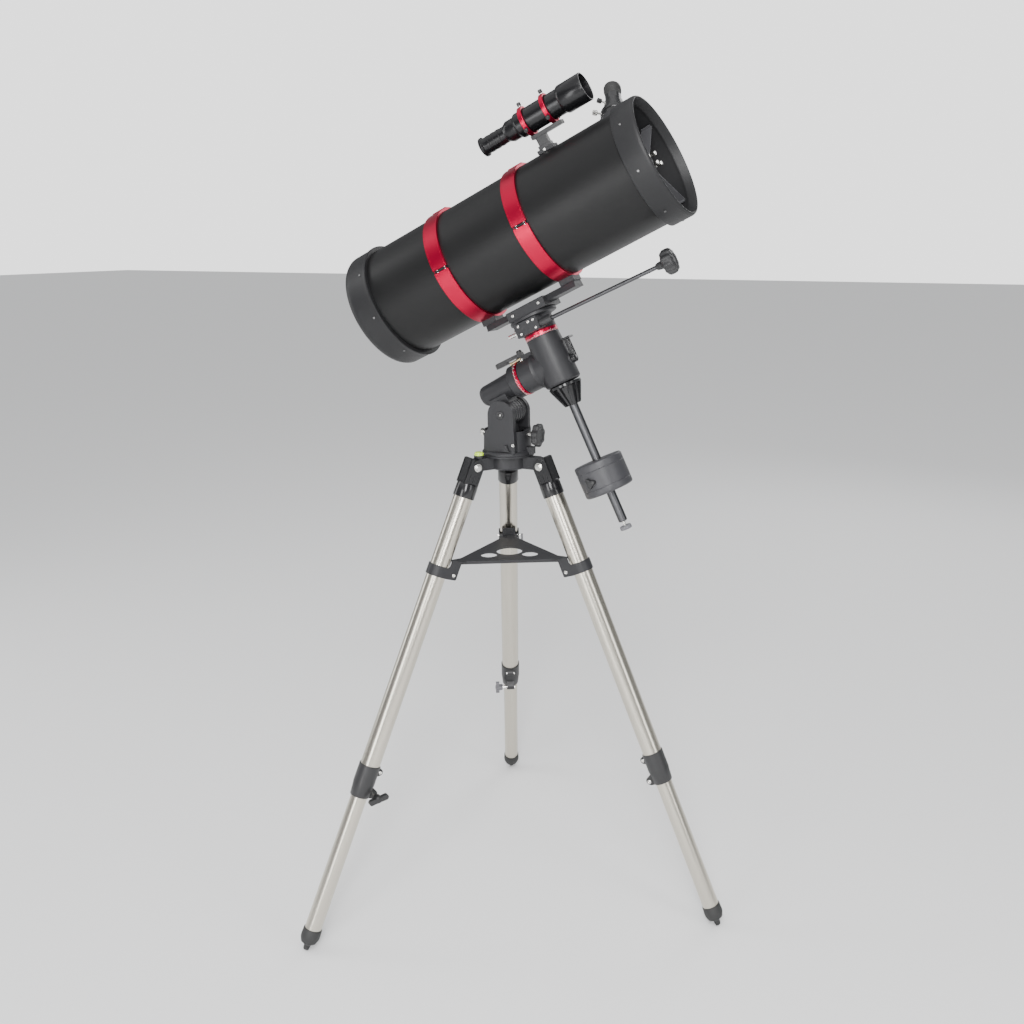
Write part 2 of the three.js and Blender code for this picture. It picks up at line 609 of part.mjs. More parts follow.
// Rear cell: a rounded cup over the tube end, open at the back behind three arms that carry the mirror.
function makeRearCell() {
  const seat = TUBE_RADIUS + GAP;
  const cup = alongX(turned(
    [[seat, -102], [122, -102], [END_RADIUS, -110], [END_RADIUS, -141], [113, -157], [103, TUBE_REAR],
      [92, TUBE_REAR], [92, -155], [seat, -149.5], [seat, -102]], 48));
  const core = rodX(46, TUBE_REAR + 1, -153, 24);
  const arms = [30, 150, 270].map((angle) => join(
    block(TUBE_REAR + 1, -153, -11, 11, 20, 98),
    rodX(9, -158, -140.6, 14).translate(0, 0, 66)).rotateX(angle * deg));
  return cut(join(cup, core, ...arms), rodX(14, TUBE_REAR - 5, -140, 16));
}

function makePrimaryMirror() {
  return alongX(turned(
    [[0, -140.3], [MIRROR_RADIUS, -140.3], [MIRROR_RADIUS, -115], [60, -117.4], [0, -118.7]], 48));
}

// Four thin blades from the wall to a hub that carries the diagonal mirror.
function makeSpider() {
  const hub = rodX(19, 455, 487, 20);
  const stalk = rodX(7, 444, 456, 14);
  const screws = [0, 120, 240].map((angle) => rodX(2.4, 486, 503, 8).translate(0, 0, 13).rotateX(angle * deg));
  const blade = makeBladeSolid();
  const blades = [45, 135, 225, 315].map((angle) => blade.clone().rotateX(-angle * deg));
  return join(hub, stalk, ...screws, ...blades);
}

function makeBladeSolid() {
  const shape = new THREE.Shape([
    new THREE.Vector2(458, 15), new THREE.Vector2(484, 15), new THREE.Vector2(498, 109.2),
    new THREE.Vector2(474, 109.2)]);
  const blade = new THREE.ExtrudeGeometry(shape, { depth: 1.6, bevelEnabled: false }).translate(0, 0, -0.8);
  const basis = new THREE.Matrix4().makeBasis(
    new THREE.Vector3(1, 0, 0), new THREE.Vector3(0, 0, 1), new THREE.Vector3(0, -1, 0));
  return blade.applyMatrix4(basis);
}

// The diagonal mirror with its holder: a round bar cut off at 45 degrees towards the focuser.
function makeSecondaryMirror() {
  const holder = rodX(26, 388, 443.6, 24);
  const wedge = block(-80, 0, -60, 60, -60, 80).rotateY(-45 * deg).translate(FOCUSER_X, 0, 0);
  return cut(holder, wedge).rotateX(-FOCUSER_ANGLE * deg);
}

addPiece(tube, 'tube_ring_rear', makeTubeRing(REAR_RING_X), RED);
addPiece(tube, 'tube_ring_front', makeTubeRing(FRONT_RING_X), RED);
addPiece(tube, 'main_tube', makeMainTube(), TUBE_PAINT);
addPiece(tube, 'front_end_ring', makeFrontRing(), PAINT);
addPiece(tube, 'rear_cell', makeRearCell(), PAINT);
addPiece(tube, 'primary_mirror', makePrimaryMirror(), MIRROR);
addPiece(tube, 'spider', makeSpider(), MATTE_PLASTIC);
addPiece(tube, 'secondary_mirror', makeSecondaryMirror(), MIRROR);

// ---------- focuser: Z outwards from the tube axis ----------

const focuser = new THREE.Group();
focuser.position.x = FOCUSER_X;
focuser.rotation.x = -FOCUSER_ANGLE * deg;
tube.add(focuser);

function makeFocuserBody() {
  const base = block(-42, 42, -44, 44, 90, 122);
  const barrel = turned([[0, 112], [38, 112], [38, 128], [34, 132], [34, 176], [0, 176]], 24);
  const pinionBox = block(-17, 17, 26, 44, 134, 164);
  const tubeSpace = rodX(TUBE_RADIUS + GAP, -60, 60, 48);
  const bore = rodZ(28.4, 60, 200, 24);
  const pinionBore = rodX(4.3, -30, 30, 12).translate(0, 37, 149);
  return cut(join(base, barrel, pinionBox), tubeSpace, bore, pinionBore);
}

function makeDrawtube() {
  return turned(
    [[25.4, 104], [28, 104], [28, 194], [29.5, 196], [29.5, 206], [24, 212], [18.6, 246], [16.2, 246], [16.2, 226],
      [23, 204], [25.4, 200], [25.4, 104]], 24);
}

// Two focus wheels on one pinion shaft.
function makeFocusKnob() {
  const wheels = [rodX(18, 34, 46, 24), rodX(18, -46, -34, 24)];
  return join(rodX(4, -36, 36, 12), ...wheels).translate(0, 37, 149);
}

function makeEyepiece() {
  return turned(
    [[0, 226], [15.8, 226], [15.8, 246.3], [16.5, 247], [16.5, 282], [18, 285], [18, 295], [16, 299], [0, 299]], 20);
}

addPiece(focuser, 'focuser_body', makeFocuserBody(), MATTE_PLASTIC);
addPiece(focuser, 'focuser_drawtube', makeDrawtube(), MATTE_PLASTIC);
addPiece(focuser, 'focus_knob', makeFocusKnob(), MATTE_PLASTIC);
addPiece(focuser, 'eyepiece', makeEyepiece(), GLOSS_PLASTIC);

// ---------- finder: Z outwards from the tube axis ----------

const finder = new THREE.Group();
finder.rotation.x = FINDER_ANGLE * deg;
tube.add(finder);

function makeFinderScope() {
  return alongX(turned(
    [[0, 206], [19, 206], [19, 211], [15.8, 214], [15.8, 262], [20.5, 271], [20.5, 288], [24.2, 293], [24.2, 388],
      [27.5, 394], [27.5, 442], [25, 442], [25, 412], [0, 412]], 24)).translate(0, 0, FINDER_RADIUS);
}

// Two rings on a bar, a stalk, and the foot that slides into the shoe on the tube.
function makeFinderBracket() {
  const ringPlaces = [310, 359];
  const rings = ringPlaces.map((x) => alongX(ringZ(25.6, 29.5, x - 4.5, x + 4.5, 24)).translate(0, 0, FINDER_RADIUS));
  const screws = ringPlaces.flatMap((x) => [0, 120, 240].map((angle) => rodZ(2.2, 24.6, 38, 8)
    .rotateX(angle * deg).translate(x, 0, FINDER_RADIUS)));
  const bar = block(304, 376, -9, 9, FINDER_RADIUS - 37, FINDER_RADIUS - 28.5);
  const stalk = block(316, 330, -7, 7, 122, FINDER_RADIUS - 36);
  const foot = block(304, 338, -15, 15, 108, 127);
  return cut(join(...rings, ...screws, bar, stalk, foot), rodX(TUBE_RADIUS + GAP, 280, 380, 48));
}

addPiece(finder, 'finder_scope', makeFinderScope(), GLOSS_PLASTIC);
addPiece(finder, 'finder_bracket', makeFinderBracket(), RED);

// ---------- the whole telescope, standing on the floor with its origin under the middle of its box ----------

const telescope = new THREE.Group();
telescope.add(tripod, mount);
telescope.updateMatrixWorld(true);
const bounds = new THREE.Box3().setFromObject(telescope, true);
const middle = bounds.getCenter(new THREE.Vector3());
telescope.position.set(-middle.x, -middle.y, -bounds.min.z);
telescope.updateMatrixWorld(true);

export default telescope;
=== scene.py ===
"""Looks of the newtonian telescope: a smooth model over each CAD node, with materials, light and camera.

Lengths are in millimetres in the drawing functions, and each drawing frame turns them into metres.
"""
import json
import math

import bmesh
import bpy
from mathutils import Matrix, Vector, geometry


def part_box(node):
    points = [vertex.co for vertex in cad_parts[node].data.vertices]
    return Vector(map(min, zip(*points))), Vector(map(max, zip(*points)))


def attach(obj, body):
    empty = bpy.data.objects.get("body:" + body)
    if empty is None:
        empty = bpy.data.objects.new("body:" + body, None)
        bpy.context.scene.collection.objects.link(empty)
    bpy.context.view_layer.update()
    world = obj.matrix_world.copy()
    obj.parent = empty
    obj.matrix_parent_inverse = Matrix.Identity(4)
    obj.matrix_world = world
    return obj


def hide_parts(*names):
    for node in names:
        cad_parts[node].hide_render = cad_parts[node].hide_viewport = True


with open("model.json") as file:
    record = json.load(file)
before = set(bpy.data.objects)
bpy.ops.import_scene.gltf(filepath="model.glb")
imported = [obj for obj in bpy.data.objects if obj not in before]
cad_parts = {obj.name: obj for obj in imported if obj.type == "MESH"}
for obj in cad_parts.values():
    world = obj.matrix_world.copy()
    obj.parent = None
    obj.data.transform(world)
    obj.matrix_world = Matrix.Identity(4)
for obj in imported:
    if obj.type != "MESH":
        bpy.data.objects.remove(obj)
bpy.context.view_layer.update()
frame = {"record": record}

# Driving dimensions, in millimetres and degrees. GAP keeps neighbouring pieces apart.
GAP = 0.3

# Tripod. Heights are above the floor, and lengths along a leg are counted down from its pivot.
LEG_ANGLES = (0, 120, 240)
TRIPOD_TURN = -4.2
LEG_SPREAD = 23.2
PIVOT_RADIUS = 79
PIVOT_HEIGHT = 905
PIN_HOLE = 4.3
HUB_TOP = 925
ARM_TOP = 921
LEVEL_PLACE = (67, 240)
UPPER_TUBE = 19.3
LOWER_TUBE = 16.3
LEG_WALL = 1.5
SOCKET_END = 64
CLAMP_WALL = 2.2
CLAMP_TOP = 205
CLAMP_BOTTOM = 226.5
CLAMP_BOLT = (-25, -216)
COLLAR_START = 613
COLLAR_SPLIT = 652
COLLAR_END = 676
COLLAR_SCREW = (-25.5, -669)
WING_ANGLES = (-60, 80, 30)
FOOT_START = 941
LEG_END = 985
TRAY_TOP = 717.5
TRAY_HINGE = (131, 714)
TRAY_HINGE_SIDE = 120
TRAY_CUPS = (0, 240)

# Mount. POLAR pieces are drawn with X along the polar axis and Z towards the optical tube.
BASE_RADIUS = 52
BASE_BOTTOM = 925.3
HEAD_Z = 1000
TILT = 26.5
POLAR_AXIS = 53
DEC_AXIS = 143
PIVOT = (3.5, 1007.5)
PIVOT_HOLE = 5.9
FORK_HALF = 41
FORK_SLOT = 30
LATITUDE_SCREW_Z = 964.5
SPINDLE_BORE = 14.9
RA_CIRCLE = 34.8
DEC_CIRCLE = 34.3
DEC_LEVER_Z = 47
SHAFT_LEAN = 1.6
SHAFT_END = -286
WEIGHT_TURN = -12
WEIGHT_RADIUS = 49.5
WEIGHT_TOP = -154
WEIGHT_BOTTOM = -220
WORM = (-41, 132)
ROD_DROOP = 1.5

# Optical tube. Lengths run along the tube from the polar frame's origin, with the open end forward.
TUBE_AXIS = 305
TUBE_RADIUS = 113
TUBE_WALL = 1.2
TUBE_ENDS = (-149, 500)
END_RADIUS = 120.6
END_SCREW_TURN = 12
TUBE_REAR = -162
RING_RADIUS = 118
RING_SLIT = 183
RING_PLACES = {"tube_ring_rear": 59.5, "tube_ring_front": 244.5}
BAR = (49, 258)
MIRROR_RADIUS = 101.5
FOCUSER_X = 424
FOCUSER_ANGLE = 44
FINDER_ANGLE = 8.4
FINDER_RADIUS = 179
FINDER_CLAMPS = (310, 359)

# Surfaces: depths and distances in metres, angles in degrees.
GRAIN_DEPTH = 0.0004
STREAK_DEPTH = 0.0002
STREAK_STRENGTH = 0.12
PATCH_SCALE = 14
WELD_DISTANCE = 1e-6
SHARP_ANGLE = 28
BEVEL_ANGLE = 35

# Floor, light and camera, in metres, watts and degrees. CAMERA_PLACE is in millimetres, like the pieces.
FLOOR_SIZE = 60
FLOOR_DROP = 0.001
ROOM_LIGHT = 0.28
BACKDROP = 2.6
SUN_STRENGTH = 1.7
SUN_SPREAD = 100
SUN_TILT = (14, -8)
LIGHTS = (
    ("key", (1.3, -3.4, 2.3), (0, 0, 0.9), (0.6, 2.2), 130),
    ("fill", (3.2, -1.2, 1.6), (0, 0, 0.9), (0.9, 2.4), 34),
    ("left", (-3.0, -0.6, 1.7), (0, 0, 0.9), (0.8, 2.4), 24),
    ("low", (-0.5, -3.3, 0.9), (0, 0, 0.45), (0.8, 1.6), 34),
    ("high", (0.9, -2.6, 3.6), (0, 0, 0.8), (1.8, 1.2), 75),
    ("back", (0.6, 3.4, 2.6), (0, 0, 0.9), (1.6, 2.2), 28),
)
CAMERA_PLACE = (922.8, -1938.0, 1361.7)
CAMERA_PAN = 20.28
CAMERA_DIP = 10.04
CAMERA_ROLL = 0.08
CAMERA_SENSOR = 36
CAMERA_LENS = 37.8
CAMERA_SHIFT = (-0.0895, -0.0859)


# ---------- drawing frames ----------

def turn(axis, degrees):
    return Matrix.Rotation(math.radians(degrees), 4, axis)


def move(x, y, z):
    return Matrix.Translation((x, y, z))


# WORLD stands on the floor under the mount. SECTION is for outlines drawn in Y and Z and raised along X.
base_low, base_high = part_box("azimuth_base")
origin = Vector((base_low[0] + BASE_RADIUS / 1000, (base_low[1] + base_high[1]) / 2,
                 base_low[2] - BASE_BOTTOM / 1000))
WORLD = Matrix.Translation(origin) @ Matrix.Scale(0.001, 4)
TRIPOD = WORLD @ turn("Z", TRIPOD_TURN)
POLAR = WORLD @ move(0, 0, HEAD_Z) @ turn("Y", -TILT)
SHAFT = POLAR @ move(DEC_AXIS, 0, 0) @ turn("Y", SHAFT_LEAN)
ROD = POLAR @ move(DEC_AXIS, *WORM) @ turn("Y", ROD_DROOP)
TUBE = POLAR @ move(0, 0, TUBE_AXIS)
FOCUSER = TUBE @ move(FOCUSER_X, 0, 0) @ turn("X", -FOCUSER_ANGLE)
FINDER = TUBE @ turn("X", FINDER_ANGLE)
SIDES = [TRIPOD @ turn("Z", angle) for angle in LEG_ANGLES]
LEGS = [side @ move(PIVOT_RADIUS, 0, PIVOT_HEIGHT) @ turn("Y", -LEG_SPREAD) for side in SIDES]
ALONG_X = turn("Y", 90)
ALONG_Y = turn("X", -90)
SECTION = Matrix(((0, 0, 1, 0), (1, 0, 0, 0), (0, 1, 0, 0), (0, 0, 0, 1)))


# ---------- materials ----------

def add_noise(tree, where, scale, detail):
    """A soft pattern over the given coordinates."""
    noise = tree.nodes.new("ShaderNodeTexNoise")
    noise.inputs["Scale"].default_value = scale
    noise.inputs["Detail"].default_value = detail
    tree.links.new(where, noise.inputs["Vector"])
    return noise.outputs["Fac"]


def add_bump(tree, pattern, strength, depth):
    """Turns a pattern into fine relief."""
    bump = tree.nodes.new("ShaderNodeBump")
    bump.inputs["Strength"].default_value = strength
    bump.inputs["Distance"].default_value = depth
    tree.links.new(pattern, bump.inputs["Height"])
    tree.links.new(bump.outputs["Normal"], tree.nodes["Principled BSDF"].inputs["Normal"])


def vary_roughness(tree, pattern, low, high):
    """Lets a pattern move the roughness between two values."""
    spread = tree.nodes.new("ShaderNodeMapRange")
    spread.inputs["To Min"].default_value = low
    spread.inputs["To Max"].default_value = high
    tree.links.new(pattern, spread.inputs["Value"])
    tree.links.new(spread.outputs["Result"], tree.nodes["Principled BSDF"].inputs["Roughness"])


def material(name, color, roughness, metallic=0.0, grain=0.0, grain_size=400.0, coat=0.0, patch=0.0,
             gloss=0.5):
    """A painted or metal surface: grain is a fine bump, and patch varies its roughness slowly."""
    made = bpy.data.materials.new(name)
    made.use_nodes = True
    tree = made.node_tree
    shader = tree.nodes["Principled BSDF"]
    shader.inputs["Base Color"].default_value = (*color, 1)
    shader.inputs["Metallic"].default_value = metallic
    shader.inputs["Roughness"].default_value = roughness
    shader.inputs["Coat Weight"].default_value = coat
    shader.inputs["Specular IOR Level"].default_value = gloss
    where = tree.nodes.new("ShaderNodeTexCoord").outputs["Object"]
    if grain:
        add_bump(tree, add_noise(tree, where, grain_size, 4), grain, GRAIN_DEPTH)
    if patch:
        vary_roughness(tree, add_noise(tree, where, PATCH_SCALE, 5), roughness - patch, roughness + patch)
    return made


def brushed(name, color, roughness, along=6.0, around=900.0):
    """Drawn metal: streaks that run along the length of a turned piece."""
    made = material(name, color, roughness, 1.0)
    tree = made.node_tree
    where = tree.nodes.new("ShaderNodeUVMap").outputs["UV"]
    stretch = tree.nodes.new("ShaderNodeMapping")
    stretch.inputs["Scale"].default_value = (around, along, 1)
    tree.links.new(where, stretch.inputs["Vector"])
    streaks = add_noise(tree, stretch.outputs["Vector"], 1, 3)
    vary_roughness(tree, streaks, roughness - 0.1, roughness + 0.12)
    add_bump(tree, streaks, STREAK_STRENGTH, STREAK_DEPTH)
    return made


LOOKS = {
    "tube_paint": material("tube_paint", (0.007, 0.007, 0.0073), 0.4, 0, 0.12, 2600, patch=0.05, gloss=0.26),
    "end_ring_paint": material("end_ring_paint", (0.012, 0.012, 0.013), 0.46, 0, 0.5, 900, patch=0.07,
                               gloss=0.32),
    "inside_black": material("inside_black", (0.012, 0.012, 0.013), 0.6, 0, 0.2, 1500, gloss=0.3),
    "red_anodised": material("red_anodised", (0.5, 0.005, 0.045), 0.3, 0.9, 0.1, 2000, patch=0.04),
    "mount_paint": material("mount_paint", (0.02, 0.02, 0.022), 0.42, 0, 0.35, 1400, patch=0.05, gloss=0.34),
    "weight_paint": material("weight_paint", (0.035, 0.035, 0.039), 0.42, 0, 0.35, 1200, patch=0.05),
    "leg_steel": brushed("leg_steel", (0.6, 0.565, 0.49), 0.26),
    "bright_steel": material("bright_steel", (0.72, 0.71, 0.68), 0.22, 1, 0.1, 900, patch=0.06),
    "brass": material("brass", (0.66, 0.54, 0.34), 0.3, 1, 0.1, 900, patch=0.06),
    "gloss_black": material("gloss_black", (0.009, 0.009, 0.01), 0.2, 0, 0.08, 500, patch=0.06),
    "black_plastic": material("black_plastic", (0.018, 0.018, 0.019), 0.42, 0, 0.3, 1500, patch=0.05),
    "vane_paint": material("vane_paint", (0.075, 0.075, 0.08), 0.4, 0, 0.2, 1500, patch=0.05),
    "grey_plastic": material("grey_plastic", (0.12, 0.12, 0.13), 0.42, 0, 0.3, 1500, patch=0.05),
    "finder_black": material("finder_black", (0.008, 0.008, 0.009), 0.24, 0.3, 0.08, 900, patch=0.06),
    "rubber": material("rubber", (0.02, 0.02, 0.02), 0.6, 0, 0.4, 700, patch=0.05),
    "mirror": material("mirror", (0.93, 0.94, 0.95), 0.02, 1),
    "glass_black": material("glass_black", (0.012, 0.014, 0.02), 0.04, 0, coat=1.0),
    "level_vial": material("level_vial", (0.5, 0.72, 0.05), 0.12, 0, coat=0.6),
    "shaft_metal": brushed("shaft_metal", (0.09, 0.09, 0.095), 0.36, 4, 500),
    "dark_screw": material("dark_screw", (0.2, 0.2, 0.2), 0.3, 1, 0.1, 900, patch=0.06),
    "white_mark": material("white_mark", (0.75, 0.72, 0.7), 0.5),
}


# ---------- meshes ----------

class Piece:
    """One visible mesh that stands for a CAD node. Shapes are added in a drawing frame, with a look."""

    def __init__(self, node, place, look, bevel=0.6):
        self.node = node
        self.place = place
        self.look = look
        self.bevel = bevel
        self.vertices = []
        self.faces = []
        self.uvs = []
        self.looks = []
        self.used = []

    def add(self, vertices, faces, uvs=None, look=None, at=None):
        matrix = self.place @ at if at else self.place
        start = len(self.vertices)
        self.vertices.extend(matrix @ Vector(v) for v in vertices)
        name = look or self.look
        if name not in self.used:
            self.used.append(name)
        for face in faces:
            self.faces.append([start + i for i in face])
            self.uvs.extend(uvs[i] if uvs else (0, 0) for i in face)
            self.looks.append(self.used.index(name))
        return self

    def turned(self, profile, sides=96, look=None, at=None, wave=None):
        """Turns [radius, height] pairs about Z. wave(angle) scales the radius."""
        vertices = []
        uvs = []
        length = 0.0
        for row, (radius, height) in enumerate(profile):
            if row:
                length += math.dist(profile[row - 1], profile[row]) / 1000
            for i in range(sides + 1):
                angle = 2 * math.pi * i / sides
                r = radius * wave(angle) if wave else radius
                vertices.append((r * math.cos(angle), r * math.sin(angle), height))
                uvs.append((i / sides, length))
        faces = []
        step = sides + 1
        for row in range(len(profile) - 1):
            for i in range(sides):
                a = row * step + i
                ring = [a, a + 1, a + 1 + step, a + step]
                if profile[row][0] == 0:
                    ring = [a, a + 1 + step, a + step]
                elif profile[row + 1][0] == 0:
                    ring = [a, a + 1, a + step]
                faces.append(ring)
        return self.add(vertices, faces, uvs, look, at)

    def rod(self, radius, z0, z1, look=None, at=None, sides=32):
        return self.turned([(0, z0), (radius, z0), (radius, z1), (0, z1)], sides, look, at)

    def ring(self, inner, outer, z0, z1, look=None, at=None, sides=96):
        profile = [(inner, z0), (outer, z0), (outer, z1), (inner, z1), (inner, z0)]
        return self.turned(profile, sides, look, at)

    def block(self, x0, x1, y0, y1, z0, z1, look=None, at=None):
        corners = [(x, y, z) for z in (z0, z1) for x, y in ((x0, y0), (x1, y0), (x1, y1), (x0, y1))]
        faces = [(3, 2, 1, 0), (4, 5, 6, 7), (0, 1, 5, 4), (1, 2, 6, 5), (2, 3, 7, 6), (3, 0, 4, 7)]
        return self.add(corners, faces, None, look, at)

    def plate(self, outline, z0, z1, holes=(), look=None, at=None):
        """Raises a flat outline, with any holes cut through it."""
        loops = [list(outline)] + [list(hole) for hole in holes]
        flat = [[Vector((x, y, 0)) for x, y in loop] for loop in loops]
        triangles = geometry.tessellate_polygon(flat)
        points = [p for loop in loops for p in loop]
        count = len(points)
        vertices = [(x, y, z0) for x, y in points] + [(x, y, z1) for x, y in points]
        faces = []
        for triangle in triangles:
            a, b, c = triangle
            (ax, ay), (bx, by), (cx, cy) = points[a], points[b], points[c]
            if (bx - ax) * (cy - ay) - (by - ay) * (cx - ax) < 0:
                b, c = c, b
            faces.append((a + count, b + count, c + count))
            faces.append((c, b, a))
        start = 0
        for loop in loops:
            size = len(loop)
            for i in range(size):
                a, b = start + i, start + (i + 1) % size
                faces.append((a, b, b + count, a + count))
            start += size
        return self.add(vertices, faces, None, look, at)

    def screw(self, at, radius=3.0, height=1.6, look="bright_steel"):
        """A round screw head with a round socket, standing on the frame's Z = 0."""
        head = [(0, 0), (radius, 0), (radius, height * 0.7), (radius * 0.8, height), (radius * 0.5, height),
                (radius * 0.5, height * 0.4), (0, height * 0.4)]
        return self.turned(head, 24, look, at)

    def finish(self):
        mesh = bpy.data.meshes.new("vis_" + self.node)
        mesh.from_pydata(self.vertices, [], self.faces)
        layer = mesh.uv_layers.new(name="UVMap")
        for i, uv in enumerate(self.uvs):
            layer.data[i].uv = uv
        for name in self.used:
            mesh.materials.append(LOOKS[name])
        mesh.polygons.foreach_set("material_index", self.looks)
        made = bpy.data.objects.new("vis_" + self.node, mesh)
        bpy.context.collection.objects.link(made)
        weld(mesh)
        mesh.shade_smooth()
        mesh.set_sharp_from_angle(angle=math.radians(SHARP_ANGLE))
        if self.bevel:
            rounding = made.modifiers.new("edges", "BEVEL")
            rounding.width = self.bevel / 1000
            rounding.segments = 2
            rounding.limit_method = "ANGLE"
            rounding.angle_limit = math.radians(BEVEL_ANGLE)
            rounding.harden_normals = True
        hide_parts(self.node)
        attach(made, body_of_node(self.node))
        return made


def weld(mesh):
    """Joins the seam of turned shapes and makes every face look outwards."""
    work = bmesh.new()
    work.from_mesh(mesh)
    bmesh.ops.remove_doubles(work, verts=work.verts, dist=WELD_DISTANCE)
    bmesh.ops.recalc_face_normals(work, faces=work.faces)
    work.to_mesh(mesh)
    work.free()


def body_of_node(node):
    bodies = frame["record"]["behaviour"]["bodies"]
    return next(body for body, nodes in bodies.items() if node in nodes)


def circle(x, y, radius, count=48):
    return [(x + radius * math.cos(2 * math.pi * i / count), y + radius * math.sin(2 * math.pi * i / count))
            for i in range(count)]


def arc(x, y, radius, start, end, count=16):
    steps = [math.radians(start + (end - start) * i / count) for i in range(count + 1)]
    return [(x + radius * math.cos(a), y + radius * math.sin(a)) for a in steps]


def lobes(count, depth):
    """A wave that gives a turned knob this many lobes, with hollows of the given share of its radius."""
    return lambda angle: 1 - depth / 2 + depth / 2 * math.cos(count * angle)


# ---------- tripod ----------

def make_hub():
    piece = Piece("tripod_hub", TRIPOD, "mount_paint", 0.8)
    piece.turned([(6.5, 895), (38, 895), (41.5, 898), (41.5, 919), (44, 921), (53.5, 921.4), (53.5, 925),
                  (6.5, 925), (6.5, 895)], 96)
    for angle in LEG_ANGLES:
        at = turn("Z", angle)
        outline = [(30, -9), *arc(PIVOT_RADIUS, 0, 12.4, -46, 0, 10), *arc(PIVOT_RADIUS, 0, 12.4, 0, 60, 10),
                   (70, 16), (30, 16)]
        side = at @ move(0, 0, PIVOT_HEIGHT) @ turn("X", 90)
        piece.plate(outline, -11, 11, [circle(PIVOT_RADIUS, 0, PIN_HOLE, 24)], None, side)
        piece.block(34, 64, -7, 7, 896, 920, None, at)
    return piece.finish()


def make_level():
    radius, angle = LEVEL_PLACE
    angle = math.radians(angle)
    at = move(radius * math.cos(angle), radius * math.sin(angle), ARM_TOP + GAP)
    piece = Piece("bubble_level", TRIPOD, "level_vial", 0.3)
    piece.turned([(0, 0), (10, 0), (10, 5), (9.4, 6)], 48, "black_plastic", at)
    piece.turned([(9.6, 5), (9.4, 9), (8, 11.6), (5, 12.7), (0, 13)], 48, None, at)
    return piece.finish()


def make_leg_bolt(number, leg_side):
    place = leg_side @ move(PIVOT_RADIUS, 0, PIVOT_HEIGHT)
    piece = Piece(f"leg_bolt_{number}", place, "bright_steel", 0.4)
    for direction in (1, -1):
        at = ALONG_Y if direction > 0 else turn("X", 90)
        piece.turned([(0, 17.3), (8, 17.3), (8, 18.8), (0, 18.8)], 40, None, at)
        piece.turned([(0, 18.8), (6.3, 18.8), (6.3, 22.4), (5.4, 23.6), (0, 23.9)], 6, None, at)
    piece.rod(4, -18, 18, None, ALONG_Y)
    return piece.finish()


def make_socket(number, leg):
    piece = Piece(f"leg_socket_{number}", leg, "gloss_black", 1.0)
    spread = math.radians(LEG_SPREAD)
    top = HUB_TOP - 1 - PIVOT_HEIGHT
    wall_out = top / math.cos(spread) - 17.5 * math.tan(spread)
    wall_in = top / math.cos(spread) - 13 * math.tan(spread)
    for side in (-1, 1):
        outline = [(-14, -37), (17.5, -37), (17.5, wall_out), (13, wall_in), (13, 6),
                   *arc(0, 0, 14, 25, 180, 16)]
        low, high = (11.4, 17) if side > 0 else (-17, -11.4)
        piece.plate(outline, -high, -low, [circle(0, 0, PIN_HOLE, 24)], None, turn("X", 90))
    wall = [(13, -37), (17.5, -37), (17.5, wall_out), (13, wall_in)]
    piece.plate(wall, -16.8, 16.8, (), None, turn("X", 90))
    piece.block(-14, 14, -11.5, 11.5, -37, -24.5)
    piece.turned([(0, -33), (16, -33), (20.6, -36), (21.4, -40), (21.8, -SOCKET_END + 1),
                  (21.3, -SOCKET_END), (UPPER_TUBE + GAP, -SOCKET_END), (UPPER_TUBE + GAP, -36.2),
                  (0, -36.1)], 64)
    for x in (-9, 0, 9):
        piece.block(x - 0.8, x + 0.8, 17, 18.2, -36, -17)
        piece.block(x - 0.8, x + 0.8, -18.2, -17, -36, -17)
    return piece.finish()


def make_upper_tube(number, leg):
    piece = Piece(f"upper_leg_{number}", leg, "leg_steel", 0.3)
    piece.ring(UPPER_TUBE - LEG_WALL, UPPER_TUBE, -COLLAR_SPLIT + 2, -36.3)
    return piece.finish()


def make_lower_tube(number, leg):
    piece = Piece(f"lower_leg_{number}", leg, "leg_steel", 0.3)
    piece.ring(LOWER_TUBE - LEG_WALL, LOWER_TUBE, -FOOT_START - 4, -400)
    return piece.finish()


def make_tray_clamp(number, leg):
    piece = Piece(f"tray_clamp_{number}", leg, "mount_paint", 0.5)
    inner = UPPER_TUBE + GAP
    outer = inner + CLAMP_WALL
    outline = arc(0, 0, outer, -90, 90, 40) + arc(0, 0, inner, 90, -90, 40)
    piece.plate(outline, -CLAMP_BOTTOM, -CLAMP_TOP)
    cheek = [(0.5, -CLAMP_TOP), (-9, -CLAMP_TOP), (-12, -201), (-12, -189), (-14, -187), (-32, -187),
             (-34, -189), (-34, -223), (-32, -225), (-14, -CLAMP_BOTTOM), (0.5, -CLAMP_BOTTOM)]
    x, z = CLAMP_BOLT
    for low in (inner, -outer):
        piece.plate(cheek, -low - CLAMP_WALL, -low, [circle(x, z, 2, 20)], None, turn("X", 90))
    side = -1 if number == 1 else 1
    bolt = move(x, side * outer, z) @ turn("X", -90 * side)
    piece.screw(bolt, 3.6, 2.4)
    piece.rod(2, -2 * outer, 0, "bright_steel", bolt, 20)
    wing = move(x, -side * outer, z) @ turn("X", 90 * side)
    piece.rod(5, 0, 8, "grey_plastic", wing, 32)
    petal = [*arc(12, 0, 5, -90, 90, 14), (0, 4), *arc(-12, 0, 5, 90, 270, 14), (0, -4)]
    piece.plate(petal, 5, 9, (), "grey_plastic", wing @ turn("Z", 35))
    return piece.finish()


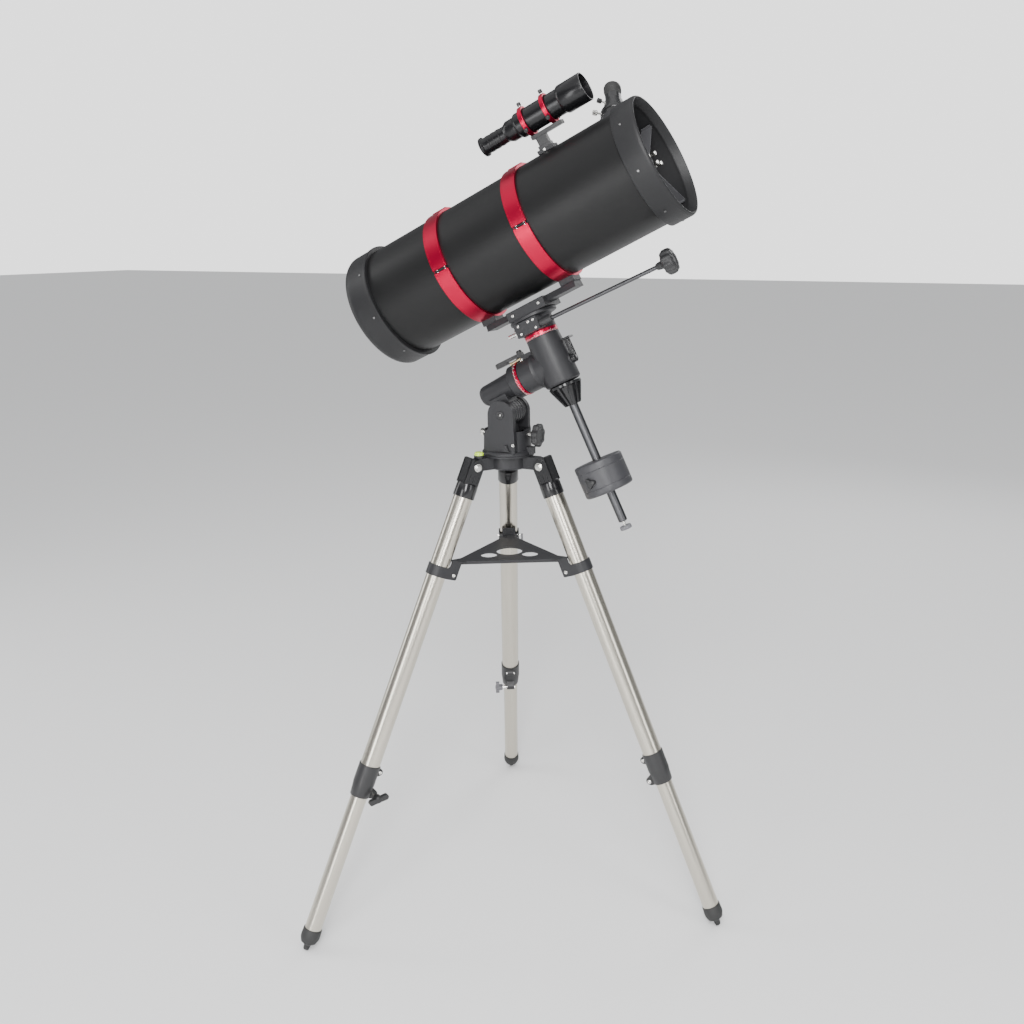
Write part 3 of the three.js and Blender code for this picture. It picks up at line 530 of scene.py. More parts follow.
def make_collar(number, leg):
    piece = Piece(f"leg_collar_{number}", leg, "black_plastic", 0.5)
    bore = UPPER_TUBE + GAP
    low_bore = LOWER_TUBE + GAP
    piece.turned([(bore, -COLLAR_SPLIT), (21.2, -COLLAR_SPLIT), (21.2, -COLLAR_START - 0.8),
                  (20.6, -COLLAR_START), (bore, -COLLAR_START), (bore, -COLLAR_SPLIT)], 72)
    piece.turned([(low_bore, -COLLAR_END), (18.4, -COLLAR_END), (19, -COLLAR_END + 1),
                  (20.7, -COLLAR_SPLIT - 0.7), (20.7, -COLLAR_SPLIT + 0.2), (low_bore, -COLLAR_SPLIT + 0.2),
                  (low_bore, -COLLAR_END)], 72)
    ear = [(-18, -634), *arc(-21.5, -625, 7, 250, 110, 14), (-18, -616)]
    piece.plate(ear, -8, 8, (), None, turn("X", 90))
    for side in (-1, 1):
        piece.screw(move(-23, side * 8, -625) @ turn("X", -90 * side), 3.4, 2)
    x, z = COLLAR_SCREW
    ear = [(-15, -677), (-24, -677), *arc(x + 1.5, z + 1, 8, 250, 120, 14), (-17, -655)]
    piece.plate(ear, -9, 9, (), None, turn("X", 90))
    piece.screw(move(x, -9, z) @ turn("X", 90), 4, 2.2)
    return piece.finish()


def make_leg_knob(number, leg, wing_angle):
    x, z = COLLAR_SCREW
    place = leg @ move(x, 0, z)
    look = "grey_plastic" if number == 2 else "black_plastic"
    piece = Piece(f"leg_knob_{number}", place, look, 0.8)
    piece.rod(3.4, -8.8, 27, "bright_steel", ALONG_Y, 24)
    piece.turned([(0, 19), (6, 19), (7.4, 22), (7.4, 33), (5, 36.5), (0, 37)], 40, None, ALONG_Y)
    wing = [*arc(14.5, 0, 5.6, -80, 80, 16), (4, 5), (-4, 5), *arc(-14.5, 0, 5.6, 100, 260, 16),
            (-4, -5), (4, -5)]
    at = turn("Y", wing_angle) @ ALONG_Y
    piece.plate(wing, 27, 35.5, (), None, at)
    return piece.finish()


def make_foot(number, leg):
    piece = Piece(f"leg_foot_{number}", leg, "rubber", 0.6)
    bore = LOWER_TUBE + GAP
    start = -FOOT_START
    piece.turned([(0, start - 4.3), (bore, start - 4.3), (bore, start), (17.5, start), (17.9, start - 1),
                  (18.6, start - 14), (18.2, start - 19), (15, start - 27), (9, start - 30.5),
                  (6.6, start - 33), (6, -LEG_END + 6), (5.2, -LEG_END + 2.4), (2.5, -LEG_END + 1),
                  (0, -LEG_END + 0.6)], 64)
    return piece.finish()


def make_tray():
    def corners(radius, half):
        points = []
        for angle in LEG_ANGLES:
            c, s = math.cos(math.radians(angle)), math.sin(math.radians(angle))
            points.extend((radius * c - side * s, radius * s + side * c) for side in (-half, half))
        return points

    piece = Piece("accessory_tray", TRIPOD, "mount_paint", 0.6)
    small = [(48 * math.cos(math.radians(a)), 48 * math.sin(math.radians(a))) for a in TRAY_CUPS]
    holes = [circle(0, 0, 26.5, 72)] + [circle(x, y, 16.6, 56) for x, y in small]
    piece.plate(corners(118, 6), TRAY_TOP - 2.5, TRAY_TOP, holes)
    piece.plate(corners(118.5, 6.3), TRAY_TOP - 6.5, TRAY_TOP - 0.4, [corners(115.5, 5)])
    for angle in LEG_ANGLES:
        at = turn("Z", angle)
        piece.block(92, 129, -14, 14, TRAY_TOP - 2.3, TRAY_TOP - 0.2, None, at)
        if angle == TRAY_HINGE_SIDE:
            piece.block(124, 126.5, -14, 14, TRAY_TOP - 1, TRAY_TOP + 14, None, at)
            for y in (-7, 7):
                piece.screw(at @ move(124, y, TRAY_TOP + 7) @ turn("Y", -90), 2.6, 1.4, "black_plastic")
                piece.screw(at @ move(100, y, TRAY_TOP), 2.2, 1.2, "black_plastic")
        else:
            piece.block(124, 126.5, -14, 14, TRAY_TOP - 12, TRAY_TOP - 1, None, at)
    hinge = turn("Z", TRAY_HINGE_SIDE) @ move(TRAY_HINGE[0], 0, TRAY_HINGE[1])
    piece.rod(4.5, -19.2, 19.2, None, hinge @ ALONG_Y)
    piece.rod(2.6, -24.3, 24.3, "bright_steel", hinge @ ALONG_Y)
    piece.block(-5, 0, -14, 14, 0, 3, None, hinge)
    return piece.finish()


make_hub()
make_level()
make_tray()
for number, (side, leg, wing_angle) in enumerate(zip(SIDES, LEGS, WING_ANGLES), 1):
    make_leg_bolt(number, side)
    make_socket(number, leg)
    make_upper_tube(number, leg)
    make_lower_tube(number, leg)
    make_tray_clamp(number, leg)
    make_collar(number, leg)
    make_leg_knob(number, leg, wing_angle)
    make_foot(number, leg)


# ---------- azimuth base ----------

def make_azimuth_base():
    piece = Piece("azimuth_base", WORLD, "mount_paint", 1.2)
    piece.turned([(0, BASE_BOTTOM), (BASE_RADIUS, BASE_BOTTOM), (BASE_RADIUS, 928.4), (50.5, 931), (48, 933),
                  (0, 933)], 96)
    half = math.degrees(math.asin(FORK_SLOT / 47))
    outline = [*arc(0, 0, 47, -half, half, 24), *arc(0, 0, 47, 180 - half, 180 + half, 24)]
    slot = FORK_SLOT - 0.1
    pocket = [(-35, -slot), (35.5, -slot), (35.5, slot), (-35, slot)]
    piece.plate(outline, 932, 944)
    piece.plate(outline, 943.9, 974, [pocket])
    x, z = PIVOT
    for low, high in ((-FORK_HALF, -slot), (slot, FORK_HALF)):
        cheek = [(-34, 931), (34, 931), (33, 970), (x + 28, 978), *arc(x, z, 28, 0, 180, 40), (x - 28, 978),
                 (-33, 970)]
        piece.plate(cheek, -high, -low, [circle(x, z, PIVOT_HOLE, 32)], None, turn("X", 90))
    piece.block(44, 57, -9, 9, BASE_BOTTOM, 940)
    rear = move(-46, 0, LATITUDE_SCREW_Z - 1) @ turn("Y", -90)
    piece.rod(4, -6, 5, "bright_steel", rear)
    piece.turned([(0, 5), (7.4, 5), (8, 6), (8, 12), (7, 13.4), (0, 14)], 32, "bright_steel", rear,
                 lobes(14, 0.06))
    guide = move(16, -FORK_HALF, 935)
    pointer = [(-10, 0), (10, 0), (6, 2.5), (2.5, 13), (-2.5, 13), (-6, 2.5)]
    piece.plate(pointer, 0, 5, (), None, guide @ turn("X", 90))
    piece.screw(move(30.5, -FORK_HALF, 948) @ turn("X", 90), 3.4, 2)
    return piece.finish()


def make_latitude_knob():
    piece = Piece("latitude_knob", WORLD @ move(0, 0, LATITUDE_SCREW_Z) @ ALONG_X, "black_plastic", 0.9)
    piece.rod(5, 36.5, 62, "bright_steel")
    piece.turned([(0, 54), (9, 54), (11, 60), (0, 60.2)], 48)
    piece.turned([(0, 60), (22, 60), (24, 62), (24, 71), (22, 73), (15, 73), (13, 71.5), (0, 71.5)], 112,
                 None, None, lobes(7, 0.14))
    return piece.finish()


def make_latitude_bolt():
    piece = Piece("latitude_bolt", WORLD @ move(PIVOT[0], 0, PIVOT[1]) @ ALONG_Y, "black_plastic", 0.4)
    piece.rod(5.6, -FORK_HALF, FORK_HALF)
    for at in (Matrix(), turn("X", 180)):
        piece.turned([(0, 41.3), (7.5, 41.3), (7.5, 43), (6.4, 44), (3.4, 44), (3.4, 42), (0, 42)], 40,
                     None, at)
        piece.turned([(0, 42), (2.6, 42), (2.2, 43.2), (0, 43.2)], 6, "bright_steel", at)
    return piece.finish()


# ---------- polar and declination castings ----------

pivot_along = PIVOT[0] * math.cos(math.radians(TILT)) + (PIVOT[1] - HEAD_Z) * math.sin(math.radians(TILT))
pivot_across = (PIVOT[1] - HEAD_Z) * math.cos(math.radians(TILT)) - PIVOT[0] * math.sin(math.radians(TILT))


def make_ra_housing():
    piece = Piece("ra_housing", POLAR, "mount_paint", 1.0)
    axis = move(0, 0, POLAR_AXIS) @ ALONG_X
    piece.turned([(0, -31.5), (13, -31.5), (17, -30), (20, -26.5), (21.3, -22), (25, 35), (26.5, 44),
                  (30, 47), (33, 47.4), (33.6, 48.4), (33.6, 64.4), (14.6, 64.4), (14.6, 86), (0, 86)], 96,
                 None, axis)
    pivot = move(pivot_along, 0, pivot_across)
    for low, high in ((-29.5, -22), (-19, -11), (-8, 0), (3, 11), (14, 21), (23, 29.5)):
        piece.turned([(PIVOT_HOLE, low), (25.2, low), (26, low + 0.8), (26, high - 0.8), (25.2, high),
                      (PIVOT_HOLE, high), (PIVOT_HOLE, low)], 72, None, pivot @ ALONG_Y)
    piece.ring(PIVOT_HOLE, 24, -29, 29, None, pivot @ ALONG_Y, 64)
    piece.block(-16, 26, -21, 21, pivot_across + 8, POLAR_AXIS - 12)
    piece.block(-8, 8, -12, 12, -42, -10, None, pivot @ turn("Y", 14))
    return piece.finish()


def add_marks(piece, radius, width, count, at, long_every):
    """White division marks around a red setting circle, standing on its rim."""
    for i in range(count):
        angle = 360 * i / count
        reach = width * (0.62 if i % long_every == 0 else 0.34)
        piece.block(radius - 0.3, radius + 0.12, -0.32, 0.32, -width / 2, -width / 2 + reach, "white_mark",
                    at @ turn("Z", angle))


def make_ra_circle():
    at = move(0, 0, POLAR_AXIS) @ ALONG_X
    piece = Piece("ra_setting_circle", POLAR, "red_anodised", 0.4)
    piece.ring(SPINDLE_BORE, RA_CIRCLE, 64.7, 72, None, at)
    add_marks(piece, RA_CIRCLE, 7.3, 72, at @ move(0, 0, 68.35), 3)
    return piece.finish()


def make_dec_circle():
    at = move(DEC_AXIS, 0, 0)
    piece = Piece("dec_setting_circle", POLAR, "red_anodised", 0.4)
    piece.ring(SPINDLE_BORE, DEC_CIRCLE, 111.5, 120.5, None, at)
    add_marks(piece, DEC_CIRCLE, 9, 72, at @ move(0, 0, 116), 6)
    return piece.finish()


def make_dec_housing():
    piece = Piece("dec_housing", POLAR, "mount_paint", 1.4)
    bore = SPINDLE_BORE
    barrel = move(DEC_AXIS, 0, 0)
    piece.turned([(11, 9), (30, 9), (33.5, 10), (36, 12.5), (36.6, 16), (36.3, 60), (33.8, 111.2),
                  (bore, 111.2), (bore, 70), (11, 70), (11, 9)], 112, None, barrel)
    axis = move(0, 0, POLAR_AXIS) @ ALONG_X
    piece.turned([(bore, 72.3), (33, 72.3), (34, 73.3), (34, DEC_AXIS - 8), (bore, DEC_AXIS - 8),
                  (bore, 72.3)], 96, None, axis)
    piece.turned([(36.5, 104), (35, 107), (34, 111), (33.5, 104), (36.5, 104)], 96, None, axis)
    hump = [(74, 80), (96, 80), (111, 66), (111, 92), (104, 95), (76, 95), (74, 93)]
    piece.plate(hump, -9, 9, (), None, turn("X", 90))
    piece.turned([(0, 20), (12, 20), (12, 36), (10.5, 38), (0, 38)], 48, None,
                 barrel @ move(0, 0, DEC_LEVER_Z) @ ALONG_X)
    stub = move(70, -9, 89) @ turn("Y", -4)
    piece.rod(3, -8, 14, "brass", stub @ ALONG_X)
    piece.turned([(0, -12), (4, -12), (4, -8), (0, -8)], 24, "brass", stub @ ALONG_X)
    piece.screw(move(84, -9, 87) @ turn("X", 90), 3.2, 2)
    return piece.finish()


def make_ra_lever():
    piece = Piece("ra_lock_lever", POLAR, "black_plastic", 1.0)
    outline = [(28, -7), *arc(31, 0, 7, 240, 120, 12), (28, 7), (56, 7), (68, 6), (88, 6), (88, -6),
               (68, -6), (56, -7)]
    piece.plate(outline, 95.3, 102)
    piece.plate([(28, -8), *arc(31, 0, 8.4, 248, 112, 12), (28, 8), (50, 7.6), (50, -7.6)], 91.5, 101)
    piece.turned([(0, 101), (6, 101), (6, 105), (4.6, 107.5), (0, 107.8)], 32, None, move(82, 0, 0))
    return piece.finish()


def make_dec_lever():
    piece = Piece("dec_lock_lever", POLAR, "gloss_black", 1.0)
    x0 = DEC_AXIS + 38 + GAP
    piece.turned([(0, x0), (10, x0), (10, x0 + 8), (8, x0 + 9), (0, x0 + 9)], 48, None,
                 move(0, 0, DEC_LEVER_Z) @ ALONG_X)
    piece.block(x0 + 2, x0 + 8.5, -7, 7, DEC_LEVER_Z, 88)
    for y in (-5.4, 0, 5.4):
        piece.block(x0 + 8, x0 + 10, y - 1, y + 1, 50, 86)
    piece.block(x0 - 1, x0 + 17, -11, 11, 85, 89)
    return piece.finish()


def make_skirt():
    piece = Piece("shaft_skirt", SHAFT, "gloss_black", 0.5)
    piece.turned([(9.4, -36), (12, -36), (14, -33), (20, -14), (26, 1), (33.5, 2.4), (33.5, 7.4), (9.4, 7.4),
                  (9.4, -36)], 96)
    for i in range(10):
        fin = [(9, -36), (16.4, -36), (18.2, -33), (33.5, 3), (33.5, 7), (9, 7)]
        piece.plate(fin, -2.2, 2.2, (), None, turn("Z", 36 * i + 12) @ turn("X", 90))
    return piece.finish()


def make_shaft():
    piece = Piece("counterweight_shaft", SHAFT, "shaft_metal", 0.4)
    piece.turned([(3.3, SHAFT_END), (7.5, SHAFT_END), (9, SHAFT_END + 2), (9, 44), (0, 44),
                  (0, SHAFT_END + 17), (3.3, SHAFT_END + 17), (3.3, SHAFT_END)], 64)
    return piece.finish()


def make_weight():
    piece = Piece("counterweight", SHAFT @ turn("Z", WEIGHT_TURN), "weight_paint", 0.5)
    radius = WEIGHT_RADIUS
    profile = [(9.3, WEIGHT_BOTTOM), (40, WEIGHT_BOTTOM)]
    profile += [(radius - 5 + x, WEIGHT_BOTTOM + 5 + y) for x, y in arc(0, 0, 5, 270, 360, 8)]
    for groove in (-206, -170):
        profile += [(radius, groove - 0.9), (radius - 0.7, groove - 0.5), (radius - 0.7, groove + 0.5),
                    (radius, groove + 0.9)]
    profile += [(radius - 5 + x, WEIGHT_TOP - 5 + y) for x, y in arc(0, 0, 5, 0, 90, 8)]
    profile += [(9.3, WEIGHT_TOP), (9.3, WEIGHT_BOTTOM)]
    piece.turned(profile, 128)
    return piece.finish()


def make_weight_knob():
    place = SHAFT @ turn("Z", WEIGHT_TURN) @ move(0, 0, -190) @ turn("X", 90)
    piece = Piece("counterweight_knob", place, "black_plastic", 0.6)
    piece.rod(4, 11, 46)
    rim = WEIGHT_RADIUS
    piece.turned([(0, rim - 3.5), (11, rim - 3.5), (12, rim - 2), (11.5, rim + 6), (9, rim + 7.5),
                  (0, rim + 8)], 72, None, None, lobes(3, 0.42))
    return piece.finish()


def make_end_screw():
    piece = Piece("shaft_end_screw", SHAFT, "bright_steel", 0.4)
    piece.rod(3, SHAFT_END - 8, SHAFT_END + 14)
    piece.turned([(0, SHAFT_END - 17), (10.5, SHAFT_END - 17), (12, SHAFT_END - 15.6), (12, SHAFT_END - 10),
                  (10.5, SHAFT_END - 8.4), (0, SHAFT_END - 7)], 84, "grey_plastic", None, lobes(21, 0.05))
    return piece.finish()


def make_dec_head():
    piece = Piece("dec_head", POLAR, "mount_paint", 0.9)
    worm = move(DEC_AXIS, *WORM) @ turn("Y", ROD_DROOP) @ ALONG_X
    piece.turned([(0, 72), (14.6, 72), (14.6, 120.8), (33.4, 120.8), (34, 121.4), (34, 144), (37, 147.5),
                  (47, 149.6), (48.5, 151), (48.5, 156), (47.6, 157), (0, 157)], 112, None,
                 move(DEC_AXIS, 0, 0))
    piece.block(117, 169, -52, -20, 121.5, 148.5)
    piece.ring(4.5, 8, 22, 52, "black_plastic", worm, 40)
    for x, z in ((127, 127), (127, 143), (150, 143), (161, 127), (161, 143)):
        piece.screw(move(x, -52, z) @ turn("X", 90), 2.7, 1.6)
    piece.ring(4.5, 10, -29, -26, "bright_steel", worm, 40)
    return piece.finish()


def make_rod():
    piece = Piece("slow_motion_rod", ROD @ ALONG_X, "shaft_metal", 0.4)
    piece.rod(3.8, -48, -24, "bright_steel")
    piece.rod(4, -24, 296)
    piece.turned([(0, 282), (5.6, 282), (7, 286), (8, 293), (12, 298), (17, 300)], 64, "black_plastic")
    piece.turned([(0, 298.5), (21, 298.5), (24, 302), (24.6, 308), (24, 315), (21, 319), (12, 321),
                  (10, 319), (0, 319)], 160, "black_plastic", None, lobes(10, 0.09))
    return piece.finish()


def make_saddle():
    piece = Piece("saddle", POLAR, "mount_paint", 0.9)
    section = [(-38, 157.3), (38, 157.3), (38, 176), (36.5, 177.5), (19.2, 177.5), (22.8, 165), (-22.8, 165),
               (-19.2, 177.5), (-36.5, 177.5), (-38, 176)]
    piece.plate(section, 107, 193, (), None, SECTION)
    piece.screw(move(180, -38, 168) @ turn("X", 90), 3, 1.6)
    piece.screw(move(120, -38, 168) @ turn("X", 90), 3, 1.6)
    return piece.finish()


def make_saddle_knob():
    piece = Piece("saddle_knob", POLAR @ move(154.5, 0, 171) @ ALONG_Y, "black_plastic", 0.7)
    piece.rod(3.8, 24.5, 46, "bright_steel")
    piece.turned([(0, 41), (12.2, 41), (13.6, 43), (13.6, 51), (12.2, 53), (0, 53)], 80, None, None,
                 lobes(5, 0.2))
    return piece.finish()


def make_bar():
    piece = Piece("dovetail_bar", POLAR, "mount_paint", 0.6)
    section = [(-22.2, 165.3), (22.2, 165.3), (18.6, 177.7), (-18.6, 177.7)]
    piece.plate(section, BAR[0], BAR[1], (), None, SECTION)
    return piece.finish()


for make in (make_azimuth_base, make_latitude_knob, make_latitude_bolt, make_ra_housing, make_ra_circle,
             make_dec_circle, make_dec_housing, make_ra_lever, make_dec_lever, make_skirt, make_shaft,
             make_weight, make_weight_knob, make_end_screw, make_dec_head, make_rod, make_saddle,
             make_saddle_knob, make_bar):
    make()


# ---------- optical tube ----------

def make_tube_ring(node, x):
    piece = Piece(node, TUBE @ move(x, 0, 0), "red_anodised", 0.5)
    inner = TUBE_RADIUS + GAP
    start = RING_SLIT + 1.4
    end = RING_SLIT + 358.6
    outline = arc(0, 0, RING_RADIUS, start, end, 180) + arc(0, 0, inner, end, start, 180)
    piece.plate(outline, -16, 16, (), None, SECTION)
    under = RING_RADIUS - 0.3
    over = RING_RADIUS + 0.25
    for edge in (-13.4, 13.4):
        piece.turned([(under, edge - 0.5), (over, edge - 0.3), (over, edge + 0.3), (under, edge + 0.5),
                      (under, edge - 0.5)], 180, None, ALONG_X)
    piece.block(-15.8, 15.8, -16, 16, 113.6, 119.5)
    piece.block(-15.8, 15.8, -19, 19, 178 - TUBE_AXIS, -115, "mount_paint")
    middle = math.radians(RING_SLIT)
    for x_side in (-9, 9):
        spot = move(x_side, inner * math.cos(middle), inner * math.sin(middle))
        piece.rod(2.2, -3, 3, "bright_steel", spot)
    # Painted shade: a black block set into the ring's slit stands for the shadow in the depth of the gap.
    piece.block(-14, 14, -inner - 3.6, -inner - 0.5, -7.2, -4.6, "inside_black")
    return piece.finish()


def make_main_tube():
    piece = Piece("main_tube", TUBE, "tube_paint", 0)
    outer = TUBE_RADIUS
    inner = TUBE_RADIUS - TUBE_WALL
    rear, front = TUBE_ENDS
    piece.turned([(outer, rear), (outer, front)], 256, None, ALONG_X)
    piece.turned([(inner, front), (inner, rear)], 256, "inside_black", ALONG_X)
    piece.turned([(inner, front), (outer, front)], 256, None, ALONG_X)
    piece.turned([(outer, rear), (inner, rear)], 256, None, ALONG_X)
    made = piece.finish()
    bore = Piece("cutter", FOCUSER, "inside_black", 0)
    bore.rod(29, 60, 140, None, None, 64)
    mesh = bpy.data.meshes.new("cutter")
    mesh.from_pydata(bore.vertices, [], bore.faces)
    weld(mesh)
    cutter = bpy.data.objects.new("cutter", mesh)
    bpy.context.collection.objects.link(cutter)
    hole = made.modifiers.new("focuser_hole", "BOOLEAN")
    hole.object = cutter
    hole.operation = "DIFFERENCE"
    hole.solver = "EXACT"
    bpy.context.view_layer.objects.active = made
    bpy.ops.object.modifier_apply(modifier=hole.name)
    bpy.data.objects.remove(cutter)
    return made


def make_front_ring():
    piece = Piece("front_end_ring", TUBE, "end_ring_paint", 0)
    seat = TUBE_RADIUS + GAP
    piece.turned([(seat, 472), (119.4, 472), (120.4, 472.6), (END_RADIUS, 473.6), (END_RADIUS, 511),
                  (120.2, 514), (119.2, 516.6), (118, 518.2), (116.6, 519), (115.4, 518.8), (114.8, 517.4),
                  (110.4, 504), (110, 502.4), (110, 500.4), (seat, 500.4), (seat, 472)], 256, None, ALONG_X)
    for i in range(8):
        at = turn("X", 45 * i + END_SCREW_TURN) @ move(490, 0, END_RADIUS)
        piece.screw(at, 2.2, 1.1, "dark_screw")
    return piece.finish()


def make_rear_cell():
    piece = Piece("rear_cell", TUBE, "end_ring_paint", 0)
    seat = TUBE_RADIUS + GAP
    profile = [(seat, -102), (120.8, -102), (121.8, -102.6), (122, -104), (121.2, -107)]
    profile += [(END_RADIUS, -110), (END_RADIUS, -140)]
    profile += [(103.6 + x, -145 + y) for x, y in arc(0, 0, 17, -6, -90, 14)]
    profile += [(93, TUBE_REAR), (92, -161), (92, -156), (94, -155), (seat, -149.5), (seat, -102)]
    piece.turned(profile, 256, None, ALONG_X)
    piece.ring(14, 46, -161, -153, None, ALONG_X)
    for angle in (30, 150, 270):
        bolt = turn("X", angle) @ move(0, 0, 66) @ ALONG_X
        piece.block(-161, -153, -11, 11, 20, 96, None, turn("X", angle))
        piece.rod(9, -158, -140.6, None, bolt)
        piece.turned([(0, -166), (6, -166), (7, -165), (7, -161), (0, -161)], 40, "bright_steel", bolt)
    for i in range(8):
        at = turn("X", 45 * i + END_SCREW_TURN) @ move(-116, 0, END_RADIUS)
        piece.screw(at, 2.2, 1.1, "dark_screw")
    return piece.finish()


def make_primary():
    piece = Piece("primary_mirror", TUBE, "mirror", 0)
    face = MIRROR_RADIUS - 0.8
    radii = [face - i * face / 12 for i in range(13)]
    dish = [(r, -118.7 + 3.7 * (r / MIRROR_RADIUS) ** 2) for r in radii]
    piece.turned([(0, -140.3), (MIRROR_RADIUS, -140.3), (MIRROR_RADIUS, -115.6)], 128, "glass_black",
                 ALONG_X)
    piece.turned([(MIRROR_RADIUS, -115.6)] + dish, 128, None, ALONG_X)
    return piece.finish()


def make_spider():
    piece = Piece("spider", TUBE, "inside_black", 0.3)
    piece.turned([(0, 455), (19, 455), (19, 486), (18, 487), (0, 487)], 64, "black_plastic", ALONG_X)
    piece.rod(7, 444.2, 456, None, ALONG_X)
    for angle in (0, 120, 240):
        at = turn("X", angle) @ move(0, 0, 13) @ ALONG_X
        piece.rod(1.8, 486, 496, "bright_steel", at)
        piece.turned([(0, 494), (4, 494), (4.4, 495), (4.4, 501), (3.6, 502.6), (0, 502.6)], 64,
                     "bright_steel", at, lobes(16, 0.08))
        piece.turned([(1.6, 488), (3.6, 488.3), (3.6, 490.6), (1.6, 491), (1.6, 488)], 24, "bright_steel",
                     at)
    for angle in (45, 135, 225, 315):
        blade = [(458, 15), (484, 15), (498, 109), (474, 109)]
        piece.plate(blade, -0.7, 0.7, (), "vane_paint", turn("X", -angle) @ turn("X", 90))
        piece.block(476, 496, -5, 5, 106.6, 109.2, "vane_paint", turn("X", -angle))
    return piece.finish()


def make_secondary():
    piece = Piece("secondary_mirror", TUBE @ turn("X", -FOCUSER_ANGLE), "black_plastic", 0.2)
    sides = 64
    radius = 26
    front = 443.6
    ring = [(radius * math.cos(2 * math.pi * i / sides), radius * math.sin(2 * math.pi * i / sides))
            for i in range(sides)]
    slanted = [(FOCUSER_X - z, y, z) for z, y in ring]
    straight = [(front, y, z) for z, y in ring]
    faces = [(i, (i + 1) % sides, sides + (i + 1) % sides, sides + i) for i in range(sides)]
    piece.add(slanted + straight, faces + [list(range(2 * sides - 1, sides - 1, -1))])
    piece.add(slanted, [list(range(sides))], None, "mirror")
    return piece.finish()


# ---------- focuser and finder ----------

def make_focuser_body():
    piece = Piece("focuser_body", FOCUSER, "mount_paint", 0.7)
    columns = 24
    inner = TUBE_RADIUS + GAP
    lower = []
    for i in range(columns + 1):
        y = -43 + 86 * i / columns
        lower.append((y, math.sqrt(inner * inner - y * y) + 0.1))
    section = lower + [(43, 121), (40, 122), (-40, 122), (-43, 121)]
    for x0, x1 in ((-42, -29), (29, 42)):
        piece.plate(section, x0, x1, (), None, SECTION)
    left = [(y, z) for y, z in lower if y <= -26] + [(-29, 122), (-40, 122), (-43, 121)]
    right = [(y, z) for y, z in lower if y >= 26] + [(43, 121), (40, 122), (29, 122)]
    piece.plate(left, -29, 29, (), None, SECTION)
    piece.plate(right, -29, 29, (), None, SECTION)
    piece.turned([(28.4, 113), (37, 113), (38, 114.4), (38, 127), (34, 132), (34, 174), (33, 176),
                  (28.4, 176), (28.4, 113)], 96)
    piece.block(-17, 17, 30, 44, 134, 164)
    for x in (-37, 37):
        for y in (-37, 37):
            piece.screw(move(x, y, 122), 2.6, 1.4)
    return piece.finish()


def make_drawtube():
    piece = Piece("focuser_drawtube", FOCUSER, "finder_black", 0.4)
    piece.turned([(25.4, 104), (28, 104), (28, 194), (29.5, 196), (29.5, 206), (28.6, 208), (24, 212),
                  (22, 226), (19.4, 240), (18.6, 246), (16.2, 246), (16.2, 226), (23, 204), (25.4, 200),
                  (25.4, 104)], 96)
    upper = turn("Z", 236) @ move(0, 0, 236) @ ALONG_X
    piece.rod(2.2, 18, 30, "bright_steel", upper)
    piece.turned([(0, 28), (4.4, 28), (5.2, 29), (5.2, 36), (4.4, 37), (0, 37)], 48, "black_plastic", upper,
                 lobes(16, 0.08))
    lower = turn("Z", 225) @ move(0, 0, 201) @ ALONG_X
    piece.rod(2.2, 28, 38, "bright_steel", lower)
    piece.turned([(0, 37), (5, 37), (5.6, 38), (5.6, 45), (4.8, 46), (0, 46)], 48, "bright_steel", lower,
                 lobes(16, 0.08))
    return piece.finish()


def make_focus_knob():
    piece = Piece("focus_knob", FOCUSER @ move(0, 37, 149), "black_plastic", 0.4)
    piece.rod(4, -36, 36, "bright_steel", ALONG_X)
    for side in (-1, 1):
        at = ALONG_X if side > 0 else turn("Y", -90)
        piece.turned([(0, 34), (16.5, 34), (18, 35.4), (18, 44.6), (16.5, 46), (0, 46)], 144, None, at,
                     lobes(36, 0.03))
    return piece.finish()


def make_eyepiece():
    piece = Piece("eyepiece", FOCUSER, "gloss_black", 0.3)
    piece.turned([(0, 226), (15.8, 226), (15.8, 246.3)], 64, "bright_steel")
    piece.turned([(15.8, 246.3), (16.5, 247), (16.5, 264)], 64)
    for i in range(6):
        z = 265 + 3 * i
        piece.turned([(16.5, z - 1), (16.5, z), (16.1, z + 0.4), (16.1, z + 1.4), (16.5, z + 2)], 64,
                     "rubber")
    piece.turned([(16.5, 282), (18, 285), (18, 295), (17.4, 297.6), (16, 299), (14, 299), (12, 297.6),
                  (0, 297.4)], 64, "rubber")
    piece.turned([(11, 297.6), (9, 298.2), (0, 298.6)], 48, "glass_black")
    return piece.finish()


def make_finder():
    piece = Piece("finder_scope", FINDER @ move(0, 0, FINDER_RADIUS), "finder_black", 0.3)
    piece.turned([(11, 206.4), (17.5, 206), (18.6, 206.6), (19, 208), (19, 211.4), (17, 213), (15.8, 214),
                  (15.8, 262), (18, 266), (20.5, 271), (20.5, 288), (22.6, 290), (24.2, 293), (24.2, 388),
                  (26.4, 391), (27.5, 394), (27.5, 441), (27, 442), (25.4, 442), (25, 441), (25, 413)], 96,
                 None, ALONG_X)
    for x in (220, 232, 244):
        piece.turned([(15.6, x), (16.4, x + 0.5), (16.4, x + 7), (15.6, x + 7.5), (15.6, x)], 96,
                     None, ALONG_X)
    piece.turned([(25.2, 414), (18, 417), (9, 418.6), (0, 419)], 96, "glass_black", ALONG_X)
    piece.turned([(11.2, 206.5), (8, 207.6), (0, 208)], 64, "glass_black", ALONG_X)
    return piece.finish()


